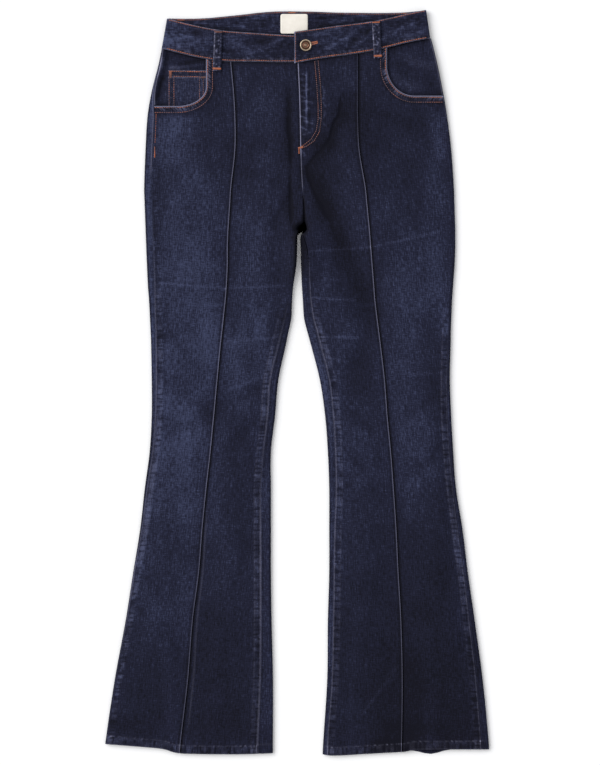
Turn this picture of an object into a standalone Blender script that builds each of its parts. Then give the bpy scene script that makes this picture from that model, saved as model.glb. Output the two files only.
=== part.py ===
"""Flared jeans laid flat on a surface, front up, in metres.

+X points to the wearer's left, +Y to the waist and +Z up. The origin is the middle of the garment's outline,
on the surface. Tables are in millimetres: "down" is measured from the highest point of the waistband, and
every other column across, from the middle line. The wearer's right leg is the one at -X.
"""

import math
from collections import namedtuple

import bmesh
import bpy
from mathutils import Matrix, Vector

MM = 0.001
LENGTH = 1088.0  # waistband to hem
GAP = 0.3  # clearance between pieces at a seam or lying on each other
DENIM = 1.1  # one ply of stretch denim
FOLD_RADIUS = 2.7  # outer radius where a leg folds over at its sides
LOOP_PLY = 2.0  # a belt loop, three plies thick
BAND = 2.4  # the waistband, two plies and its turnings
BAND_FOLD_RADIUS = 2.95  # outer radius of the waistband's side folds
WAIST_LIFT = LOOP_PLY + GAP  # the back waistband lies on its loops, so the waist stands this high
LIFT_ENDS = (75.0, 175.0)  # down, where the waist's lift begins to fall and has gone
FACING_LEVEL = 2.5  # top of a pocket facing above the underside of the leg
COIN_LEVEL = 3.9  # top of the coin pocket, lying on its facing

CROTCH = 321.0
CROTCH_EASE, CROTCH_EASE_ENDS = 0.9, (350.0, 385.0)  # the inseam opens a little just below the crotch
FLAT_FROM = 230.0  # down, below which the rows of a panel run straight across
WAIST_ROW, HEM_ROW = 77.0, 1086.0  # down, the nominal first and last rows of a panel
HEM_FLAT_TO = 1030.0
HEM_DEPTH, HEM_RISE = 13.0, 0.8

# A leg's outline and seams. Above the crotch, inner and inseam are the centre front and centre back seam.
Section = namedtuple("Section", "down outer outseam crease inseam inner")
RIGHT_LEG = (
    Section(40, -194, -193, -98, 0, 0),
    Section(76, -201, -199, -96, 1, 1),
    Section(120, -212, -208, -92, 3, 3),
    Section(155, -218, -208, -90, 4, 4),
    Section(204, -221, -210, -90, 5, 5),
    Section(260, -223, -212, -96, 7.5, 7.5),
    Section(282, -222.4, -211.4, -97.4, 10, 10),
    Section(320, -221, -210, -99.9, 10.6, 10.6),
    Section(321, -221, -210, -100, 10.6, 10.6),
    Section(331, -220.6, -209.6, -100.4, 1, 1.6),
    Section(347, -220, -209, -101, -1, 0.2),
    Section(372, -219, -208, -101, -2.4, -1),
    Section(405, -217.4, -207, -102.6, -8, -5.6),
    Section(423, -216, -207, -104, -12.5, -7),
    Section(450, -214.6, -206.2, -106.8, -18, -8.2),
    Section(467, -213.8, -205.6, -108.6, -22, -11.8),
    Section(488, -213, -205, -111, -27, -16),
    Section(540, -212, -205, -116, -39, -27),
    Section(593, -212, -206, -121, -43, -32),
    Section(645, -215, -210, -126, -49, -38),
    Section(698, -222, -218, -132, -53, -38),
    Section(759, -229, -226, -138, -53, -38),
    Section(821, -239, -237, -143, -53, -38),
    Section(891, -250, -248, -152, -53, -37),
    Section(978, -266, -264, -159, -54, -35),
    Section(1072, -280, -278, -170, -58, -35),
    Section(1095, -282, -280, -172, -58, -35),
)
LEFT_LEG = (
    Section(40, 195, 194, 89, 0, 0),
    Section(76, 204, 203, 89, 1, 1),
    Section(120, 213, 212, 89, 3, 3),
    Section(155, 219, 218, 89, 4, 4),
    Section(204, 225, 223, 91, 5, 5),
    Section(260, 229, 227, 100, 7.5, 7.5),
    Section(282, 229.7, 227.4, 102.2, 10, 10),
    Section(320, 231, 228, 105.9, 10.6, 10.6),
    Section(321, 231, 228, 106, 10.6, 10.6),
    Section(331, 231, 228, 106.8, 10, 6.8),
    Section(347, 231, 228, 108, 14, 5.8),
    Section(372, 230, 227, 110, 17, 6),
    Section(405, 227.6, 224.6, 112.6, 18.6, 7.2),
    Section(423, 226.4, 223.4, 114, 20, 8.4),
    Section(450, 225.2, 222.2, 117.2, 24, 10.2),
    Section(467, 224.6, 221.6, 119.4, 28.6, 14.2),
    Section(488, 224.2, 220.8, 122, 34, 20),
    Section(540, 223, 219.6, 128, 47, 33.2),
    Section(593, 225, 220, 132, 53, 41),
    Section(645, 228, 223, 137, 56, 45),
    Section(698, 232, 228, 141, 57, 47),
    Section(759, 241.6, 235.4, 145, 55, 47),
    Section(821, 249.3, 243.8, 148, 54, 47),
    Section(891, 259.3, 251.8, 152, 53, 45),
    Section(978, 271, 261.6, 154, 51, 44),
    Section(1072, 280, 269, 153, 44, 38),
    Section(1095, 280, 270, 152, 44, 37),
)

# The waistband's top and bottom edges, as down, from the wearer's right to the left.
Band = namedtuple("Band", "across top bottom")
RIGHT_BAND = (
    Band(-198, 13, 57),
    Band(-190, 13.5, 59),
    Band(-159, 21, 67),
    Band(-126, 28, 73.5),
    Band(-102, 31.5, 76),
    Band(-61, 34.5, 76.5),
    Band(-4, 38, 77),
    Band(20, 37, 73.6),
    Band(40, 33, 70),
)
LEFT_BAND = (
    Band(-4, 33, 79),
    Band(32, 28, 72.5),
    Band(70, 22.6, 67),
    Band(109, 17.5, 61),
    Band(143, 10.5, 53),
    Band(159, 6.7, 49),
    Band(190, 0.5, 43),
    Band(198, 0, 42),
)
BACK_BAND = (
    Band(-198, 13, 57),
    Band(-142, 13, 52.5),
    Band(-95, 9, 48),
    Band(-36, 3, 42.5),
    Band(22, 3, 42),
    Band(63, 4.4, 43),
    Band(150, 4.4, 43.5),
    Band(198, 0, 42),
)
BAND_CORNERS = {-1: (-189.5, -197.4), 1: (188.4, 194.4)}  # across, at the top and bottom edge of a side fold
BAND_UNDER = 6.0  # how far a front waistband reaches under the side fold
BAND_FOLD_TRIM = 0.6  # the side folds slant, so their thickness would reach past the band's edge
OVERLAP_FROM, UNDERLAP_TO = -4.0, 38.0  # across: the buttonhole end's edge and the button end's edge
OVERLAP_RISE = BAND + GAP
OVERLAP_FALLS = (42.0, 82.0)  # across, where the buttonhole end comes down off the button end

# The hem's edge, as down, with the small dips that it lies in.
Edge = namedtuple("Edge", "across down")
RIGHT_HEM = (
    Edge(-282, 1071),
    Edge(-224, 1075.5),
    Edge(-195, 1078.5),
    Edge(-176, 1084),
    Edge(-150, 1085.5),
    Edge(-87, 1086),
    Edge(-34, 1084.5),
)
LEFT_HEM = (
    Edge(36, 1086),
    Edge(52, 1088),
    Edge(100, 1085.5),
    Edge(150, 1082.8),
    Edge(158, 1082.2),
    Edge(170, 1079.6),
    Edge(200, 1079),
    Edge(282, 1079),
)
HEM_PEEP = (194.0, 20.0, 7.0)  # the left back hem shows below the front: middle across, half width, depth

# Large soft folds of the front: a ridge, or a trough where rise is negative, from one end to the other.
Fold = namedtuple("Fold", "across_a down_a across_b down_b half_width rise")
FOLDS = (
    Fold(16, 241, 110, 438, 13, -3.6),  # left thigh, the long trough from the fly to mid thigh
    Fold(22, 330, 70, 470, 24, 3.0),  # left thigh, inside of the trough
    Fold(78, 215, 160, 430, 34, 3.4),  # left thigh, outside of the trough
    Fold(70, 128, 47, 200, 9, -1.4),  # beside the fly
    Fold(112, 445, 76, 548, 15, -1.5),  # left leg, above the knee
    Fold(-13, 128, -4, 305, 9, -1.8),  # right of the centre front seam
    Fold(-158, 250, -152, 480, 42, 2.6),  # right thigh
    Fold(-48, 260, -62, 467, 24, 2.4),  # right inner thigh
    Fold(-193, 533, -127, 591, 12, -1.3),  # right knee, outside
    Fold(-127, 591, -60, 556, 12, -1.1),  # right knee, inside
    Fold(-176, 686, -214, 920, 30, 1.8),  # right calf, outside
    Fold(-92, 690, -104, 950, 24, 1.6),  # right calf, inside
    Fold(186, 600, 212, 920, 28, 2.0),  # left calf, outside
    Fold(92, 620, 98, 950, 24, 1.6),  # left calf, inside
    Fold(2, 326, 11, 318, 10, -2.2),  # the crotch
    Fold(190, 1070, 190, 1090, 20, 1.8),  # left hem, where the front stands off the back
)
RELIEF_FADE = 24.0  # a fold dies out over this distance from a leg's side
DEEPEST = 2.7  # no trough goes deeper than this below the flat lie, where the back is

# A curved front pocket: the mouth runs down at across, rounds a corner and ends level at down.
Pocket = namedtuple("Pocket", "across down round_across round_down")
POCKETS = {-1: Pocket(-132.5, 141.0, 42.0, 28.0), 1: Pocket(131.2, 126.0, 40.0, 44.0)}
FACING_BEYOND = 12.0  # the facing reaches this far past the mouth, under the front
FACING_DIP = 9.0  # the facing falls from the side seam to its level over this distance
FACING_CORNER = 7.0  # below the mouth the facing keeps this far in from the side seam
COIN = (-188.0, -127.0, 88.6, 150.0)  # coin pocket: two sides across, then top and bottom

FLY_LIFT = DENIM + GAP  # the left front laps over the right front
FLY_UNDERLAP = 5.0
FLY_ENDS = (182.0, 196.0)  # down, where the right front's underlap narrows to nothing
FLY_LEVEL_ENDS = (197.0, 214.0)  # down, where the lap comes down to the seam
FLY_WIDTH = (36.0, 62.0)  # across, where the lap's lift begins to fall and has gone
SHIELD = (-6.0, 36.0, 64.0, 199.0)  # fly shield: two sides from the fly's edge, then top and bottom
ZIP_TAPE = (1.0, 25.0, 81.0, 196.0)
ZIP_CHAIN = (10.5, 15.0, 82.0, 192.0)
SHIELD_LEVEL, TAPE_LEVEL, CHAIN_LEVEL = 2.5, 3.6, 5.3  # tops above the underside
TAPE_PLY, CHAIN_PLY = 0.8, 1.4

LOOP_WIDTH = 12.0
# A belt loop's middle line, on the front or, with over False, under the back waistband.
Loop = namedtuple("Loop", "name across_top top across_bottom bottom over")
LOOPS = (
    Loop("belt_loop_front_right", -114.5, 31.5, -116.5, 87.5, True),
    Loop("belt_loop_front_left", 115.0, 17.5, 118.0, 69.0, True),
    Loop("belt_loop_back_right", -169.0, 13.5, -169.5, 63.0, False),
    Loop("belt_loop_back_middle", -7.0, 3.0, -7.0, 52.0, False),
    Loop("belt_loop_back_left", 160.0, 4.0, 160.5, 53.0, False),
)
LOOP_ARCH = 1.1  # a front loop stands off the band in the middle

LABEL = (-24.0, 15.8, 6.7, 35.5)  # label inside the back waistband: two sides across, then top and bottom
LABEL_PLY = 1.0

BUTTON_AT = (12.8, 53.0)  # across, down
BUTTON_RADIUS, SHANK_RADIUS, FOOT_RADIUS = 8.6, 2.4, 2.7
BUTTONHOLE_EYE, BUTTONHOLE_SLIT, BUTTONHOLE_END = 3.2, 2.2, 16.0
BUTTONHOLE_SLOPE = math.radians(8)

# Rows of the leg panels, as nominal down.
ROWS = (
    WAIST_ROW, 92, 108, 124, 141, 160, 182, 198, 214, 240, 270, 300, CROTCH, 331, 347, 372, 405, 440, 490, 545,
    600, 660, 730, 810, 900, 990, HEM_FLAT_TO, HEM_ROW - HEM_DEPTH - 1.5, HEM_ROW - HEM_DEPTH, HEM_ROW,
)  # fmt: skip
SEAM_OFFSETS = (0.0, 1.8, 5.0)  # columns beside the crease seam
SEAM_RISES = (0.0, 0.6, 0.0)
EDGE = 0.4  # the first column beside a seam on a fold, so close that the edge there stands square to the fold
TURNING_OFFSETS = (0.0, EDGE, 2.0, 4.2, 10.5, 13.5)  # columns beside a side seam or inseam, over its turnings
TURNING_RISES = (0.0, 0.0, 0.6, 0.7, 0.7, 0.0)


def smooth(t):
    """0 before 0, 1 after 1 and an even S between."""
    t = min(max(t, 0.0), 1.0)
    return t * t * (3 - 2 * t)


def mix(a, b, t):
    return a + (b - a) * t


def curve(rows, name):
    """A smooth function through the named column of a table, against the table's first column."""
    xs = [row[0] for row in rows]
    ys = [getattr(row, name) for row in rows]
    last = len(xs) - 1
    slopes = []
    for i in range(last + 1):
        low, high = max(i - 1, 0), min(i + 1, last)
        slopes.append((ys[high] - ys[low]) / (xs[high] - xs[low]))

    def value(x):
        x = min(max(x, xs[0]), xs[-1])
        i = next(k for k in range(last) if x <= xs[k + 1])
        width = xs[i + 1] - xs[i]
        t = (x - xs[i]) / width
        a = ys[i] * (1 + 2 * t) * (1 - t) ** 2 + ys[i + 1] * t * t * (3 - 2 * t)
        return a + width * (slopes[i] * t * (1 - t) ** 2 - slopes[i + 1] * t * t * (1 - t))

    return value


LEG = {
    side: {name: curve(rows, name) for name in Section._fields[1:]}
    for side, rows in ((-1, RIGHT_LEG), (1, LEFT_LEG))
}
HEM = {-1: curve(RIGHT_HEM, "down"), 1: curve(LEFT_HEM, "down")}
FRONT_BAND = {
    side: {"top": curve(rows, "top"), "bottom": curve(rows, "bottom")}
    for side, rows in ((-1, RIGHT_BAND), (1, LEFT_BAND))
}
BACK_TOP, BACK_BOTTOM = curve(BACK_BAND, "top"), curve(BACK_BAND, "bottom")


def point(across, down, height):
    """A table's place as a point of the model."""
    return Vector((across, LENGTH / 2 - down, height)) * MM


def lift(down):
    """Height of the garment's underside: the waist lies on its belt loops."""
    start, end = LIFT_ENDS
    return WAIST_LIFT * (1 - smooth((down - start) / (end - start)))


# ---- the fold at a leg's side. "travel" is the distance over the cloth from the outermost line, positive on top.


def fold_inset(travel, radius):
    """How far in from the outermost line a point lies."""
    quarter = math.pi / 2 * radius
    turned = min(abs(travel), quarter) / radius
    return radius * (1 - math.cos(turned)) + max(abs(travel) - quarter, 0)


def fold_height(travel, radius):
    """Its height above the underside."""
    quarter = math.pi / 2 * radius
    turned = min(abs(travel), quarter) / radius
    return radius + math.copysign(radius * math.sin(turned), travel)


def fold_travel(inset, radius):
    """The travel, on top, of a point that far in."""
    inset = max(inset, 0.0)
    if inset >= radius:
        return math.pi / 2 * radius + inset - radius
    return radius * math.acos(1 - inset / radius)


# ---- the front's height


def relief(side, across, down):
    """Rise of the large folds over the flat lie of the front."""
    total = 0.0
    for fold in FOLDS:
        ax, ay, bx, by = fold[:4]
        along = ((across - ax) * (bx - ax) + (down - ay) * (by - ay)) / ((bx - ax) ** 2 + (by - ay) ** 2)
        along = min(max(along, 0.0), 1.0)
        away = math.hypot(across - mix(ax, bx, along), down - mix(ay, by, along))
        total += fold.rise * math.exp(-((away / fold.half_width) ** 2))
    leg = LEG[side]
    inset = abs(across - leg["outer"](down))
    if down > CROTCH:
        inset = min(inset, abs(leg["inner"](down) - across))
    if total < -DEEPEST / 2:
        total = -DEEPEST * (1 - 0.5 * math.exp(1 + 2 * total / DEEPEST))
    return total * smooth((inset - FOLD_RADIUS) / RELIEF_FADE)


def hem_rise(side, across, down):
    """The turned-up hem is thicker than the leg."""
    return HEM_RISE if down > HEM[side](across) - HEM_DEPTH - 0.5 else 0.0


def front_height(side, across, down):
    """Height of the outer face of the front, without seams."""
    leg = LEG[side]
    inset = abs(across - leg["outer"](down))
    if down > CROTCH + 1:
        inset = min(inset, abs(leg["inner"](down) - across))
    body = fold_height(fold_travel(inset, FOLD_RADIUS), FOLD_RADIUS)
    height = lift(down) + body + relief(side, across, down) + hem_rise(side, across, down)
    if side > 0 and down < FLY_LEVEL_ENDS[1]:
        over = 1 - smooth((across - FLY_WIDTH[0]) / (FLY_WIDTH[1] - FLY_WIDTH[0]))
        low, high = FLY_LEVEL_ENDS
        height += FLY_LIFT * over * (1 - smooth((down - low) / (high - low)))
    return height


def row_down(row, across, waist_edge, hem_edge):
    """Down of a row at that place: rows follow the waist seam and the hem, and run level between them."""
    waist = max(0.0, 1 - (row - WAIST_ROW) / (FLAT_FROM - WAIST_ROW))
    hem = max(0.0, (row - HEM_FLAT_TO) / (HEM_ROW - HEM_FLAT_TO))
    if row > HEM_FLAT_TO:
        hem = max(hem, 1 - (HEM_ROW - row) / HEM_DEPTH * 0.3)
    return row + waist * (waist_edge(across) + GAP - WAIST_ROW) + hem * (hem_edge(across) - HEM_ROW)


def settle(row, guess, across_of, waist_edge, hem_edge):
    """(across, down) of a panel's point, where the row's down and the column's across depend on each other."""
    across = guess
    for _ in range(3):
        down = row_down(row, across, waist_edge, hem_edge)
        across = across_of(down)
    return across, down


# ---- making objects


def material(name, colour, roughness, metallic=0.0):
    made = bpy.data.materials.new(name)
    made.use_nodes = True
    shader = made.node_tree.nodes["Principled BSDF"]
    shader.inputs["Base Color"].default_value = (*colour, 1.0)
    shader.inputs["Roughness"].default_value = roughness
    shader.inputs["Metallic"].default_value = metallic
    return made


def add(name, mesh, finish, group):
    made = bpy.data.objects.new(name, mesh)
    mesh.materials.append(finish)
    group.objects.link(made)
    return made


def sheet(name, columns, rows, place, thickness, finish, group, flip=False):
    """A cloth panel: a grid laid into place by place(column, row), row 0 at the waist, then given its thickness
    on the inner side. place gives the outer face."""
    mesh = bpy.data.meshes.new(name)
    cloth = bmesh.new()
    bmesh.ops.create_grid(cloth, x_segments=columns - 1, y_segments=rows - 1, size=1.0)
    for vertex in cloth.verts:
        column = round((vertex.co.x + 1) / 2 * (columns - 1))
        row = round((1 - vertex.co.y) / 2 * (rows - 1))
        vertex.co = place(column, row)
    if flip:
        bmesh.ops.reverse_faces(cloth, faces=cloth.faces[:])
    for face in cloth.faces:
        face.smooth = True
    cloth.to_mesh(mesh)
    cloth.free()
    made = add(name, mesh, finish, group)
    wall = made.modifiers.new("wall", "SOLIDIFY")
    wall.thickness = thickness * MM
    wall.offset = -1.0
    return made


def patch(name, box, top_of, thickness, finish, group, columns=3, rows=4):
    """A flat rectangular piece, box = (low across, high across, top, bottom)."""
    low, high, top, bottom = box

    def place(column, row):
        across = mix(low, high, column / (columns - 1))
        down = mix(top, bottom, row / (rows - 1))
        return point(across, down, top_of(across, down))

    return sheet(name, columns, rows, place, thickness, finish, group)


def cut(target, cutter, cutters):
    cutters.objects.link(cutter)
    cutter.hide_render = True
    cutter.display_type = "WIRE"
    boolean = target.modifiers.new("cut_" + cutter.name, "BOOLEAN")
    boolean.operation = "DIFFERENCE"
    boolean.object = cutter


def prism(name, outline, low, high):
    """A mesh prism over an outline of (across, down) points, counted either way round."""
    mesh = bpy.data.meshes.new(name)
    body = bmesh.new()
    floor = body.faces.new([body.verts.new(point(x, d, low)) for x, d in outline])
    raised = bmesh.ops.extrude_face_region(body, geom=[floor])["geom"]
    moved = [item for item in raised if isinstance(item, bmesh.types.BMVert)]
    bmesh.ops.translate(body, verts=moved, vec=(0, 0, (high - low) * MM))
    bmesh.ops.recalc_face_normals(body, faces=body.faces[:])
    body.to_mesh(mesh)
    body.free()
    return bpy.data.objects.new(name, mesh)


# ---- front panels


def front_outer(side, finish, group, cutters):
    """From the side seam to the crease seam, with the curved pocket mouth cut out of its top corner."""
    leg = LEG[side]
    toward = -side  # from the side of the body to its middle
    middle_columns = 3
    columns = len(TURNING_OFFSETS) + middle_columns + len(SEAM_OFFSETS)

    def across_of(column, down):
        outer, crease = leg["outer"](down), leg["crease"](down)
        start = fold_travel(abs(leg["outseam"](down) - outer), FOLD_RADIUS) + GAP / 2
        if column < len(TURNING_OFFSETS):
            return outer + toward * fold_inset(start + TURNING_OFFSETS[column], FOLD_RADIUS)
        from_crease = columns - 1 - column
        if from_crease < len(SEAM_OFFSETS):
            return crease - toward * (GAP / 2 + SEAM_OFFSETS[from_crease])
        near = outer + toward * fold_inset(start + TURNING_OFFSETS[-1], FOLD_RADIUS)
        far = crease - toward * (GAP / 2 + SEAM_OFFSETS[-1])
        return mix(near, far, (column - len(TURNING_OFFSETS) + 1) / (middle_columns + 1))

    def rise(column):
        if column < len(TURNING_OFFSETS):
            return TURNING_RISES[column]
        from_crease = columns - 1 - column
        return SEAM_RISES[from_crease] if from_crease < len(SEAM_OFFSETS) else 0.0

    def place(column, row):
        down = ROWS[row]
        across, down = settle(
            down, across_of(column, down), lambda d: across_of(column, d), FRONT_BAND[side]["bottom"], HEM[side]
        )
        return point(across, down, front_height(side, across, down) + rise(column))

    name = "front_outer_" + ("right" if side < 0 else "left")
    made = sheet(name, columns, len(ROWS), place, DENIM, finish, group, flip=side > 0)
    cut(made, pocket_cutter(side), cutters)
    return made


def pocket_cutter(side):
    """The space of a pocket's mouth: down its inner edge, round the corner, and out past the side seam."""
    pocket = POCKETS[side]
    outward = side
    beyond, above, steps = 60.0, 60.0, 10
    middle = (pocket.across + outward * pocket.round_across, pocket.down - pocket.round_down)
    outline = [(pocket.across, pocket.down - above - 60)]
    for step in range(steps + 1):
        turn = math.pi / 2 * step / steps
        outline.append(
            (middle[0] - outward * pocket.round_across * math.cos(turn), middle[1] + pocket.round_down * math.sin(turn))
        )
    outline.append((middle[0] + outward * beyond, pocket.down))
    outline.append((middle[0] + outward * beyond, pocket.down - above - 60))
    return prism("pocket_mouth_" + ("right" if side < 0 else "left"), outline, -10, 40)


def front_inner(side, finish, group):
    """From the crease seam to the centre front seam and, below the crotch, to the inseam."""
    leg = LEG[side]
    toward = -side
    middle_columns = 3
    columns = len(SEAM_OFFSETS) + middle_columns + len(TURNING_OFFSETS)

    def edge_across(down, offset):
        if down > CROTCH + 1:
            inner = leg["inner"](down)
            start = fold_travel(abs(leg["inseam"](down) - inner), FOLD_RADIUS) + GAP / 2
            low, high = CROTCH_EASE_ENDS
            start += CROTCH_EASE * (1 - smooth((down - low) / (high - low)))
            return inner - toward * fold_inset(start + offset, FOLD_RADIUS)
        under = 0.0
        if side < 0:
            under = (FLY_UNDERLAP + GAP) * (1 - smooth((down - FLY_ENDS[0]) / (FLY_ENDS[1] - FLY_ENDS[0])))
        return leg["inner"](down) + under - toward * (GAP / 2 + offset)

    def across_of(column, down):
        crease = leg["crease"](down)
        from_edge = columns - 1 - column
        if column < len(SEAM_OFFSETS):
            return crease + toward * (GAP / 2 + SEAM_OFFSETS[column])
        if from_edge < len(TURNING_OFFSETS):
            return edge_across(down, TURNING_OFFSETS[from_edge])
        near = crease + toward * (GAP / 2 + SEAM_OFFSETS[-1])
        far = edge_across(down, TURNING_OFFSETS[-1])
        return mix(near, far, (column - len(SEAM_OFFSETS) + 1) / (middle_columns + 1))

    def rise(column, down):
        if column < len(SEAM_OFFSETS):
            return SEAM_RISES[column]
        from_edge = columns - 1 - column
        if from_edge < len(TURNING_OFFSETS):
            return TURNING_RISES[from_edge] * smooth((down - CROTCH) / 80)
        return 0.0

    def place(column, row):
        down = ROWS[row]
        across, down = settle(
            down, across_of(column, down), lambda d: across_of(column, d), FRONT_BAND[side]["bottom"], HEM[side]
        )
        return point(across, down, front_height(side, across, down) + rise(column, down))

    name = "front_inner_" + ("right" if side < 0 else "left")
    return sheet(name, columns, len(ROWS), place, DENIM, finish, group, flip=side > 0)


# ---- back panels

BACK_FOLD_COLUMNS = 7


def back_travel(start, column):
    """Travel of a back panel's column, from its seam on top to where it lies flat underneath."""
    quarter = math.pi / 2 * FOLD_RADIUS
    if column < 2:
        return start - EDGE * column
    return mix(min(start - 2 * EDGE, quarter), -quarter, (column - 2) / (BACK_FOLD_COLUMNS - 3))


BACK_FLAT_COLUMNS = 3
CENTRE_BACK_STEP = 2.4  # spacing of the columns beside the centre back seam


def back_hem(side):
    middle, half_width, depth = HEM_PEEP

    def edge(across):
        return HEM[side](across) + (depth * math.exp(-(((across - middle) / half_width) ** 2)) if side > 0 else 0.0)

    return edge


def back(side, finish, group):
    """From the side seam on top, round the side, flat under the leg, and round the inside of the leg to the
    inseam. Above the crotch it ends flat at the centre back seam."""
    leg = LEG[side]
    toward = -side
    columns = 2 * BACK_FOLD_COLUMNS + BACK_FLAT_COLUMNS
    hem_edge = back_hem(side)

    def across_and_height(column, down):
        """(across, height above the underside, whether on the top side)"""
        outer, inner = leg["outer"](down), leg["inner"](down)
        last_fold = BACK_FOLD_COLUMNS - 1
        if column <= last_fold:
            start = fold_travel(abs(leg["outseam"](down) - outer), FOLD_RADIUS) - GAP / 2
            travel = back_travel(start, column)
            return outer + toward * fold_inset(travel, FOLD_RADIUS), fold_height(travel, FOLD_RADIUS), travel > 0
        from_edge = columns - 1 - column
        if down <= CROTCH + 1:
            far = leg["inner"](down) - toward * (GAP / 2 + CENTRE_BACK_STEP * min(from_edge, last_fold))
            height = 0.0
            top_side = False
        else:
            start = fold_travel(abs(leg["inseam"](down) - inner), FOLD_RADIUS) - GAP / 2
            travel = back_travel(start, min(from_edge, last_fold))
            far = inner - toward * fold_inset(travel, FOLD_RADIUS)
            height = fold_height(travel, FOLD_RADIUS)
            top_side = travel > 0
        if from_edge <= last_fold:
            return far, height, top_side
        near = outer + toward * FOLD_RADIUS
        return mix(near, far, (column - last_fold) / (BACK_FLAT_COLUMNS + 1)), 0.0, False

    def place(column, row):
        down = ROWS[row]
        guess, _, top_side = across_and_height(column, down)
        waist_edge = FRONT_BAND[side]["bottom"] if top_side else BACK_BOTTOM
        lower_edge = HEM[side] if top_side else hem_edge
        across, down = settle(down, guess, lambda d: across_and_height(column, d)[0], waist_edge, lower_edge)
        _, height, top_side = across_and_height(column, down)
        rise = 0.0
        if top_side and height > 2 * FOLD_RADIUS - 0.01:
            rise = relief(side, across, down) + hem_rise(side, across, down)
        return point(across, down, lift(down) + height + rise)

    name = "back_" + ("right" if side < 0 else "left")
    return sheet(name, columns, len(ROWS), place, DENIM, finish, group, flip=side < 0)


# ---- waistband


def band_front(side, finish, group):
    """Half of the front waistband, from its end at the fly to its seam under the side fold."""
    outward = side
    edges = FRONT_BAND[side]
    end = UNDERLAP_TO if side < 0 else OVERLAP_FROM
    quarter = math.pi / 2 * BAND_FOLD_RADIUS
    flat_columns, fold_columns, rows = 13, 6, 4
    columns = flat_columns + fold_columns + 1
    corner_top, corner_bottom = BAND_CORNERS[side]

    def place(column, row):
        share = row / (rows - 1)
        corner = mix(corner_top, corner_bottom, share)
        tangent = corner - outward * BAND_FOLD_RADIUS
        front_share = 1.0
        if column < flat_columns:
            across = mix(end, tangent, column / (flat_columns - 1))
            height = 2 * BAND_FOLD_RADIUS
        else:
            turned = (column - flat_columns + 1) / fold_columns
            travel = mix(quarter, -quarter, min(turned, 1.0))
            if turned > 1:
                travel = -quarter - (BAND_UNDER - BAND_FOLD_RADIUS)
            across = corner - outward * fold_inset(travel, BAND_FOLD_RADIUS)
            height = fold_height(travel, BAND_FOLD_RADIUS)
            front_share = height / (2 * BAND_FOLD_RADIUS)
        if side > 0:
            low, high = OVERLAP_FALLS
            height += OVERLAP_RISE * (1 - smooth((across - low) / (high - low)))
        top = mix(BACK_TOP(across), edges["top"](across), front_share)
        bottom = mix(BACK_BOTTOM(across), edges["bottom"](across), front_share)
        if column >= flat_columns - 1:
            bottom -= BAND_FOLD_TRIM
        return point(across, mix(top, bottom, share), WAIST_LIFT + height)

    name = "waistband_" + ("right" if side < 0 else "left")
    return sheet(name, columns, rows, place, BAND, finish, group, flip=side < 0)


def band_back(finish, group):
    """The back waistband, flat between the two side seams, its outer face down on the belt loops."""
    columns, rows = 19, 3

    def place(column, row):
        share = row / (rows - 1)
        low = mix(*BAND_CORNERS[-1], share) + BAND_UNDER + GAP
        high = mix(*BAND_CORNERS[1], share) - BAND_UNDER - GAP
        across = mix(low, high, column / (columns - 1))
        return point(across, mix(BACK_TOP(across), BACK_BOTTOM(across), share), WAIST_LIFT)

    return sheet("waistband_back", columns, rows, place, BAND, finish, group, flip=True)


def buttonhole_cutter():
    """An eye round the button's shank and a slit running out of it, along the band."""
    along = Vector((math.cos(BUTTONHOLE_SLOPE), -math.sin(BUTTONHOLE_SLOPE)))
    over = Vector((along.y, -along.x))
    centre = Vector(BUTTON_AT)
    half = BUTTONHOLE_SLIT / 2
    opens = math.asin(half / BUTTONHOLE_EYE)
    steps = 14
    outline = [centre + along * BUTTONHOLE_END - over * half, centre + along * BUTTONHOLE_END + over * half]
    for step in range(steps + 1):
        turn = mix(opens, 2 * math.pi - opens, step / steps)
        outline.append(centre + (along * math.cos(turn) + over * math.sin(turn)) * BUTTONHOLE_EYE)
    return prism("buttonhole", outline, WAIST_LIFT + 2 * BAND_FOLD_RADIUS, 30)


# ---- pockets


def facing(side, finish, group):
    """The denim behind a pocket's mouth, from the side seam to under the front. It falls away from the side
    seam, so that the mouth gapes there."""
    pocket = POCKETS[side]
    leg = LEG[side]
    toward = -side
    inner = pocket.across + toward * FACING_BEYOND
    low_edge = pocket.down + FACING_BEYOND
    offsets = (0.0, EDGE, 2.2, 4.4, 7.0, 11.0, 26.0, 48.0)
    downs = (WAIST_ROW, 90, 105, 120, pocket.down - 1.5, pocket.down - 0.5, low_edge)

    def across_of(column, down):
        outer = leg["outer"](down)
        if column == len(offsets):
            return inner
        travel = fold_travel(abs(leg["outseam"](down) - outer), FOLD_RADIUS) + GAP + offsets[column]
        if down > pocket.down - 1:
            travel += FACING_CORNER * (1 - offsets[column] / 60)
        return outer + toward * fold_inset(travel, FOLD_RADIUS)

    def place(column, row):
        waist = max(0.0, 1 - (downs[row] - WAIST_ROW) / (pocket.down - 1.5 - WAIST_ROW))
        down = downs[row]
        for _ in range(4):
            across = across_of(column, down)
            down = downs[row] + waist * (FRONT_BAND[side]["bottom"](across) + GAP - WAIST_ROW)
        from_seam = (*offsets, 60.0)[column]
        seam_height = front_height(side, across, down) - lift(down)
        fallen = smooth((from_seam - EDGE) / FACING_DIP) if down < pocket.down - 1 else 1.0
        return point(across, down, lift(down) + mix(seam_height, FACING_LEVEL, fallen))

    name = "pocket_facing_" + ("right" if side < 0 else "left")
    return sheet(name, len(offsets) + 1, len(downs), place, DENIM, finish, group, flip=side > 0)


# ---- button


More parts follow.
